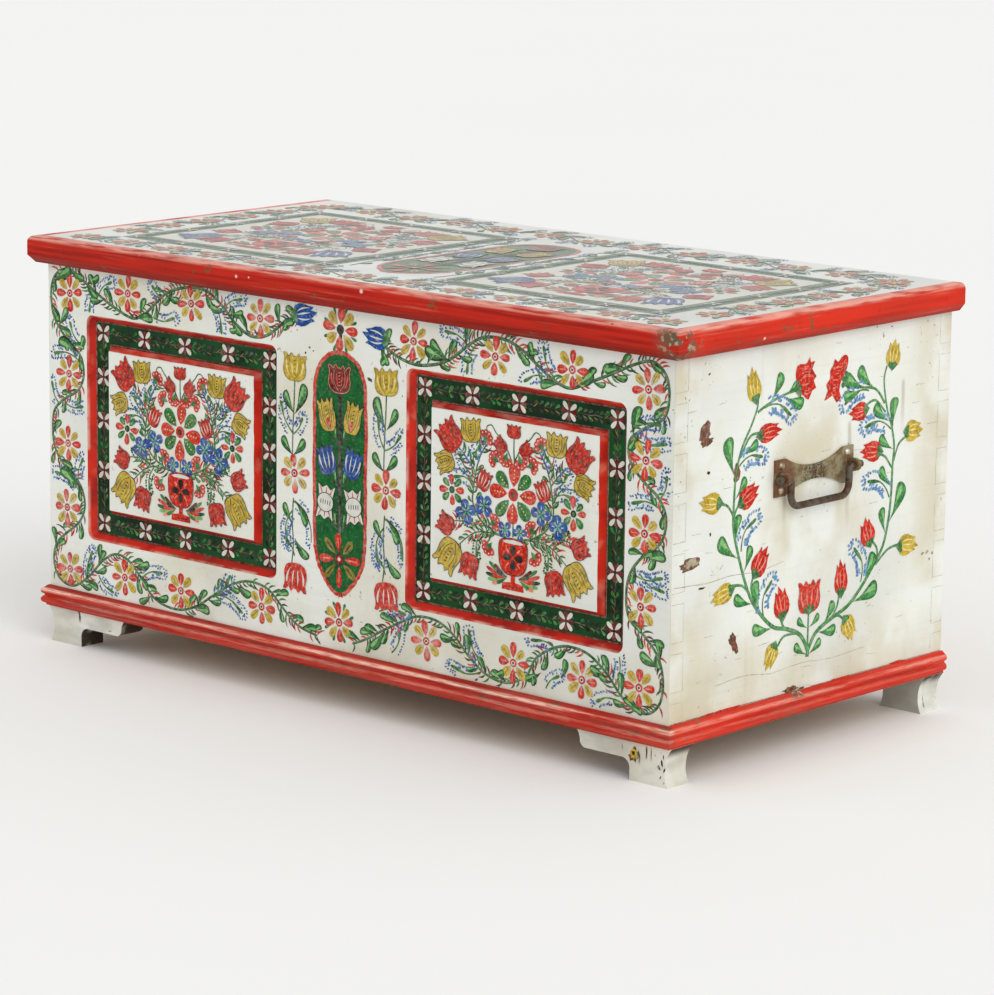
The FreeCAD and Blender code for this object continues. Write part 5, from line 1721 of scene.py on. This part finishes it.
def garland(c, flowers, swing, radius):
    """Daisies on a stem that swings from side to side of them, with leaves and sprigs between."""
    path = []
    for k, (x, y) in enumerate(flowers):
        ahead = Vector(flowers[min(k + 1, len(flowers) - 1)]) - Vector(flowers[max(k - 1, 0)])
        beside = Vector((ahead.y, -ahead.x)).normalized() * swing * (-1) ** k
        path.append(Vector((x, y)) + beside)
        daisy(c, x, y, radius, fade=0.5)
    stem(c, path, 3.2, 2.4, 0.75)

    def off_flowers(spot):
        return all((spot - Vector(flower)).length > radius for flower in flowers) and c.room(*spot)

    leafy(c, path, 13, 25, off_flowers)
    curve = smooth(path, 8)
    for k in range(SPRIG_EVERY, len(curve) - 1, SPRIG_EVERY):
        ahead = (curve[k + 1] - curve[k]).normalized()
        for hand in (-1, 1):
            tip = curve[k] + turned(ahead.x, ahead.y, SPRIG_LEAN * hand) * chance.uniform(26, 36)
            if off_flowers(tip):
                sprig(c, *curve[k], *tip, 0.1 * hand)


print("garland sprigs lean", SPRIG_LEAN, "degrees off the stem")

# %% Edge of the lid
LID_X, LID_Y, LID_WIDE, LID_TALL, LID_BAND = 283, -20, 191, 190, 28
LID_EDGE, LID_FRONT, LID_BACK = 548, -274, 272
LID_DAISY = 24
END_ROW = (196, 128, 56, -16, -88, -160)
BACK_ROW = (-500, -418, -336, -254, -168, -84, 0, 84, 168, 254, 336, 418, 500)
FRONT_ROW = (-508, -428, -344, -260, -174, -88, 0, 88, 174, 260, 344, 428, 508)
LID_SPRAY = [(74, -182), (80, -130), (73, -75), (80, -20), (73, 35), (79, 90), (75, 145)]


def lid_border(x, y):
    beside = abs(abs(x) - LID_X) > LID_WIDE + 1 or abs(y - LID_Y) > LID_TALL + 1
    return beside and abs(x) < LID_EDGE and LID_FRONT < y < LID_BACK


lid = Canvas("lid_painting", "lid", (0, MIDDLE, TOP), (1, 0, 0), (0, 1, 0), lid_border, "varnished", 0.18)
for hand in (-1, 1):
    garland(lid, [(hand * 513, y) for y in END_ROW], 20, LID_DAISY)
    spray = [(hand * x, y) for x, y in LID_SPRAY]
    stem(lid, spray, 2.6, 1.8)
    leafy(lid, spray, 16, 22, lambda tip: abs(tip.x) > 64)
    for x, y in spray[1:]:
        sprig(lid, x, y, x + (6 if x < hand * 77 else -6), y + 32, 0.1 * hand)
garland(lid, [(x, 220) for x in BACK_ROW], 22, LID_DAISY)
garland(lid, [(x, -243) for x in FRONT_ROW], 16, LID_DAISY)
print("garlands of", 2 * len(END_ROW) + len(BACK_ROW) + len(FRONT_ROW), "daisies round the lid")


# %% Fields and oval of the lid
def lid_field(x, wide, tall, paint, coat):
    """A flat field, given its middle and half its width and height."""
    low, high = LID_Y - tall, LID_Y + tall
    lid.patch([(x - wide, low), (x + wide, low), (x + wide, high), (x - wide, high)], paint, coat)


lid.room = None
for hand in (-1, 1):
    x0 = hand * LID_X
    lid_field(x0, LID_WIDE, LID_TALL, "ground", 0)
    lid_field(x0, LID_WIDE - LID_BAND, LID_TALL - LID_BAND, "white", 1)
    band(lid, x0, LID_Y, LID_WIDE - LID_BAND / 2, LID_TALL - LID_BAND / 2, 0.8)
    bouquet(lid, x0, LID_Y, 1.16, 1.46, True)
oval(lid, 0, LID_Y, 1.3, 1.08)
lid.done()

# %% [markdown]
# ## Wear
# Where paint has come off in flakes, brown wood shows. The corner joints have cracked the paint in fine
# lines where the dovetails end, and long cracks run along the boards. Cracks and flakes are laid on like
# strokes, in the colours of wood and dirt, because a stroke can be put exactly where the real one is.


# %% Flake and crack
def flake(c, x, y, wide, tall, turn, paint, coat=1):
    """A ragged patch where paint is gone."""
    outline = []
    for k in range(18):
        ragged = chance.uniform(0.62, 1.1)
        rim = turned(0, 1, 20 * k)
        outline.append(Vector((x, y)) + turned(rim.x * wide * ragged / 2, rim.y * tall * ragged / 2, turn))
    c.patch(outline, paint, coat)


UNSTEADY = 0.4


def crack(c, points, width=0.5, paint="grime", thin=0.5):
    def shake():
        return chance.uniform(-UNSTEADY, UNSTEADY)

    path = [point + Vector((shake(), shake())) for point in smooth(points, 4)]
    c.ribbon(path, width, paint, 0, width * 0.5, thin=thin)


print("cracks waver by", UNSTEADY, "mm")

# %% [markdown]
# ### Cracks and flakes of the sides
# The dovetails are as wide as in the CAD boards, so the cracks lie on the real joints. The right side has
# the flakes and chips of the photograph. Along the base moulding runs a brown line, painted shade of the gap
# where moulding and board meet, with red slopped above it by the brush.

# %% Cracks of the sides
TAIL_PITCH, HALF_PIN, FIRST_TAIL, TAILS, BOARD = 60.75, 7, 50, 8, 24
SIDE_HALF, ABOVE_MOULDING, UNDER_LID_EDGE = 275, 78, 524
SHORT_CRACKS = 52


def dovetail_cracks(c):
    """Lines along the edges of the tails and across their ends, at both corners of a side."""
    for edge in (-1, 1):
        outer, inner = edge * (SIDE_HALF - 1), edge * (SIDE_HALF - BOARD)
        for k in range(TAILS):
            low = FIRST_TAIL + TAIL_PITCH * k + HALF_PIN
            high = FIRST_TAIL + TAIL_PITCH * (k + 1) - HALF_PIN
            if low > ABOVE_MOULDING:
                crack(c, [(outer, low), (inner, low)])
            if high < UNDER_LID_EDGE:
                crack(c, [(outer, high), (inner, high)])
            crack(c, [(inner, max(low, ABOVE_MOULDING + 6)), (inner, min(high, UNDER_LID_EDGE - 4))])


def board_cracks(c):
    crack(c, [(-270, 246), (-210, 243), (-160, 245), (-110, 242), (-60, 247)], 0.9, thin=0.45)
    crack(c, [(-190, 112), (-130, 115), (-80, 109), (-20, 112), (40, 108), (110, 111)], 0.9, thin=0.5)
    for _ in range(SHORT_CRACKS):
        x, y, reach = chance.uniform(-262, 230), chance.uniform(90, 512), chance.uniform(3, 22)
        bow = chance.uniform(-1.6, 1.6)
        line = [(x, y), (x + reach / 2, y + bow / 2), (x + reach, y + bow)]
        crack(c, line, chance.uniform(0.4, 0.8), thin=0.42)


print(SHORT_CRACKS, "short cracks to a side")

# %% Flakes and seam of the sides
BARE_FLAKES = [
    (-218, 427, 22, 34, -28), (-214, 416, 26, 10, 12), (-155, 161, 14, 34, 28), (-156, 370, 13, 30, -8),
]
DARK_SPOTS = [
    (-210, 378, 6, 5, 0), (-212, 498, 5, 3, 20), (-218, 238, 13, 3, 0), (-204, 302, 4, 5, 0),
    (148, 516, 4, 2, 0),
]
DIRT_SPOTS = [(228, 213, 7), (238, 214, 9), (249, 211, 6), (243, 204, 4)]
SEAM = [(-272, 78.6), (-130, 78.8), (0, 78.6), (140, 78.8), (272, 78.6)]
RED_SLOPS = [(-160, 79, 62, 3.4), (-196, 79, 30, 2.4), (180, 79, 38, 4), (62, 78.8, 54, 2.2)]


def right_flakes(c):
    """Paint that is gone, an old dent with dirt in it, dark spots, and a chip just above the moulding."""
    for spot in BARE_FLAKES:
        flake(c, *spot, "bare")
    flake(c, -243, 270, 44, 17, 6, "bare")
    flake(c, -240, 272, 34, 11, 8, "grime", 2)
    for spot in DARK_SPOTS:
        flake(c, *spot, "ink")
    for x, y, wide in DIRT_SPOTS:
        flake(c, x, y, wide, 4, 20, "grime")
    flake(c, -40, 82, 34, 9, 3, "bare")
    flake(c, -10, 81, 26, 6, -2, "white", 2)
    flake(c, -18, 80, 12, 3, 0, "bare", 3)


for name, hand in (("left", -1), ("right", 1)):
    wear = Canvas(f"{name}_side_wear", "case", (hand * SIDE, MIDDLE, 0), (0, hand, 0), (0, 0, 1))
    dovetail_cracks(wear)
    board_cracks(wear)
    if hand == 1:
        right_flakes(wear)
    # A brown line where the base moulding meets the board: painted shade of the gap in the joint.
    crack(wear, SEAM, 0.9, "bare", 0.3)
    for x, y, wide, tall in RED_SLOPS:
        flake(wear, x, y, wide, tall, 0, "red")
    wear.done()

# %% [markdown]
# ### The knot and the specks in front
# A knot shows through the paint of the right front foot, in rings of brown, yellow and black, with short
# dark cracks at the foot's corner. A few dark specks lie on the front, between the windows.

# %% Knot and specks
FOOT_CRACKS = [
    (541, 30, 3, 10, 10), (545, 22, 3, 8, -20), (537, 24, 2, 9, 30), (543, 38, 2, 7, 0), (539, 12, 2, 6, -30),
]
FRONT_SPECKS = [
    (-62, 458, 3, 4, 0), (-55, 466, 4, 2, 30), (-68, 452, 2, 2, 0), (-48, 462, 3, 2, 0),
    (52, 437, 10, 5, -20),
]
foot_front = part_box("front_right_foot")[0].y
knot = Canvas("front_right_foot_knot", "case", (0, foot_front, 0), (1, 0, 0), (0, 0, 1))
flake(knot, 497, 33, 17, 21, 0, "bare", 0)
flake(knot, 497, 34, 12, 15, 0, "yellow", 1)
flake(knot, 496, 35, 5, 7, 20, "ink", 2)
for spot in FOOT_CRACKS:
    flake(knot, *spot, "ink", 0)
knot.done()
worn_front = Canvas("front_wear", "case", (0, FRONT, 0), (1, 0, 0), (0, 0, 1))
for spot in FRONT_SPECKS:
    flake(worn_front, *spot, "ink", 0)
worn_front.done()

# %% [markdown]
# ## Nails
# Forged nails hold the hinge straps and the lock to the wood. Each has a low round head, hammered down.
# They sit on the iron in rows, as a smith would set them: along the middle of a strap, and near a plate's
# corners. Smaller ones hold the panels from inside, and painted ones the mouldings. The photograph doesn't
# show them, so their places are guessed. A head is three rings of points and a tip, which is all the shape
# that a dome of a few millimetres shows.

# %% Drive the nails
HEAD_SIDES = 12
HEAD_RINGS = ((1.0, -0.3), (0.96, 0.5), (0.62, 0.86))


def head_shape(points, faces, spot, out, radius, height):
    """Adds one domed head to the points and faces, on a face that looks along out."""
    right = out.orthogonal().normalized()
    up = out.cross(right)
    start = len(points)
    for share, lift in HEAD_RINGS:
        for k in range(HEAD_SIDES):
            angle = math.tau * k / HEAD_SIDES
            arm = right * math.cos(angle) + up * math.sin(angle)
            points.append(Vector(spot) + (arm * radius * share + out * height * lift) * MM)
    tip = len(points)
    points.append(Vector(spot) + out * height * MM)
    for ring in range(len(HEAD_RINGS) - 1):
        for k in range(HEAD_SIDES):
            a, b = (start + HEAD_SIDES * ring + side for side in (k, (k + 1) % HEAD_SIDES))
            faces.append([a, b, b + HEAD_SIDES, a + HEAD_SIDES])
    last = tip - HEAD_SIDES
    faces.extend([last + k, last + (k + 1) % HEAD_SIDES, tip] for k in range(HEAD_SIDES))


def nail_heads(name, body, spots, out, radius=4.0, height=1.6, finish=hidden_iron):
    """Low domed heads on a face that looks along out, as one piece."""
    points, faces = [], []
    for spot in spots:
        head_shape(points, faces, spot, Vector(out), radius, height)
    mesh = bpy.data.meshes.new(name)
    mesh.from_pydata(points, [], faces)
    mesh.shade_smooth()
    mesh.materials.append(finish)
    piece = bpy.data.objects.new(name, mesh)
    bpy.context.scene.collection.objects.link(piece)
    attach(piece, body)
    print(name, "has", len(spots), "heads")


# %% Nails of hinges and lock
STRAP, LOCK_PLATE, INSET = 3 * MM, 2.5 * MM, 6 * MM
UNDER_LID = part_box("left_lid_batten")[1].z
for name in ("left", "right"):
    low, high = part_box(f"{name}_hinge_lid_strap")
    middle = (low.x + high.x) / 2
    spots = [(middle, high.y - reach * MM, UNDER_LID - STRAP) for reach in (70, 125, 180)]
    nail_heads(f"{name}_lid_strap_nails", "lid", spots, (0, 0, -1))
    low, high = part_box(f"{name}_hinge_case_strap")
    spots = [(middle, low.y, low.z + reach * MM) for reach in (18, 48, 78)]
    nail_heads(f"{name}_case_strap_nails", "case", spots, (0, -1, 0))
low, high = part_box("lock_plate")
across, upright = (low.x + INSET, high.x - INSET), (low.z + INSET, high.z - INSET)
corners = [(x, low.y + LOCK_PLATE, z) for x in across for z in upright]
nail_heads("lock_plate_nails", "case", corners, (0, 1, 0), 2.8, 1.4)


# %% Nails of panels and mouldings
PAINTED_HEAD = (2.2, 0.7, moulding_paint)


def moulding_nails(edge, body, level, sunk):
    """Painted heads along a moulding in front and on both sides, sunk behind its outer face."""
    low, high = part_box(f"front_{edge}_moulding")
    spots = [(x * MM, low.y + sunk, level) for x in range(-500, 501, 200)]
    nail_heads(f"front_{edge}_moulding_nails", body, spots, (0, -1, 0), *PAINTED_HEAD)
    for name, hand, outer in (("left", -1, low.x), ("right", 1, high.x)):
        spots = [(outer - hand * sunk, y * MM, level) for y in (-220, -60, 100, 240)]
        nail_heads(f"{name}_{edge}_moulding_nails", body, spots, (hand, 0, 0), *PAINTED_HEAD)


moulding_nails("lid", "lid", 544 * MM, 0)
moulding_nails("base", "case", 64 * MM, 3.78 * MM)
for name in ("left", "right"):
    low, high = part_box(f"{name}_front_panel")
    wide, tall = (high.x - low.x) / 2 - INSET, (high.z - low.z) / 2 - INSET
    middle = (low + high) / 2
    places = [(share, edge) for edge in (-1, 1) for share in (-0.9, -0.45, 0, 0.45, 0.9)]
    places += [(edge, share) for edge in (-1, 1) for share in (-0.75, -0.25, 0.25, 0.75)]
    spots = [(middle.x + wide * x, high.y, middle.z + tall * z) for x, z in places]
    nail_heads(f"{name}_panel_nails", "case", spots, (0, 1, 0), 2.6, 1.0)

# %% [markdown]
# ## Floor, light and camera
# A plain pale floor, an even sky and one broad soft light from the right show the paint about as it is. The
# camera stands where the photographer stood, found from the chest's corners in the photograph. A long lens
# from far off gives the photograph's flat perspective.

# %% Floor
FLOOR_HALF = 40
floor_corners = [(x * FLOOR_HALF, y * FLOOR_HALF, 0) for x, y in ((-1, -1), (1, -1), (1, 1), (-1, 1))]
floor_mesh = bpy.data.meshes.new("floor")
floor_mesh.from_pydata(floor_corners, [], [(0, 1, 2, 3)])
floor = bpy.data.objects.new("floor", floor_mesh)
bpy.context.scene.collection.objects.link(floor)
pale = Finish("pale_floor", 0.9)
floor_mesh.materials.append(pale.done(pale.mix(pale.noise(0.4), srgb(246, 246, 244), srgb(250, 250, 248))))
print("floor laid,", 2 * FLOOR_HALF, "m across")

# %% Light
SKY_STRENGTH = 0.76
world = bpy.data.worlds.new("studio")
bpy.context.scene.world = world
world.use_nodes = True
sky = world.node_tree.nodes["Background"]
sky.inputs["Color"].default_value = (1, 1, 1, 1)
sky.inputs["Strength"].default_value = SKY_STRENGTH
lamp = bpy.data.lights.new("window_light", "SUN")
lamp.energy = 1.12
lamp.angle = math.radians(50)
sun = bpy.data.objects.new("window_light", lamp)
sun.rotation_mode = "QUATERNION"
sun.rotation_quaternion = Vector((0.76, -0.28, 0.58)).to_track_quat("Z", "Y")
bpy.context.scene.collection.objects.link(sun)
print("sky of", SKY_STRENGTH, "and a sun of", round(lamp.energy, 2))

# %% Camera
YAW, PITCH_DOWN, ROLL = math.radians(41.94), math.radians(11.37), math.radians(0.69)
STANDPOINT = (3.608, -3.9865, 1.3216)
flat = math.cos(PITCH_DOWN)
ahead = Vector((-math.sin(YAW) * flat, math.cos(YAW) * flat, -math.sin(PITCH_DOWN)))
level = Vector((math.cos(YAW), math.sin(YAW), 0))
above = level.cross(ahead)
right = level * math.cos(ROLL) + above * math.sin(ROLL)
up = above * math.cos(ROLL) - level * math.sin(ROLL)
lens = bpy.data.cameras.new("camera")
lens.lens = 149.85
lens.sensor_width = 36
camera = bpy.data.objects.new("camera", lens)
camera.matrix_world = Matrix((right, up, -ahead)).transposed().to_4x4()
camera.location = STANDPOINT
bpy.context.scene.collection.objects.link(camera)
bpy.context.scene.camera = camera
bpy.context.scene.view_settings.view_transform = "Standard"
print("camera at", STANDPOINT)

# %% [markdown]
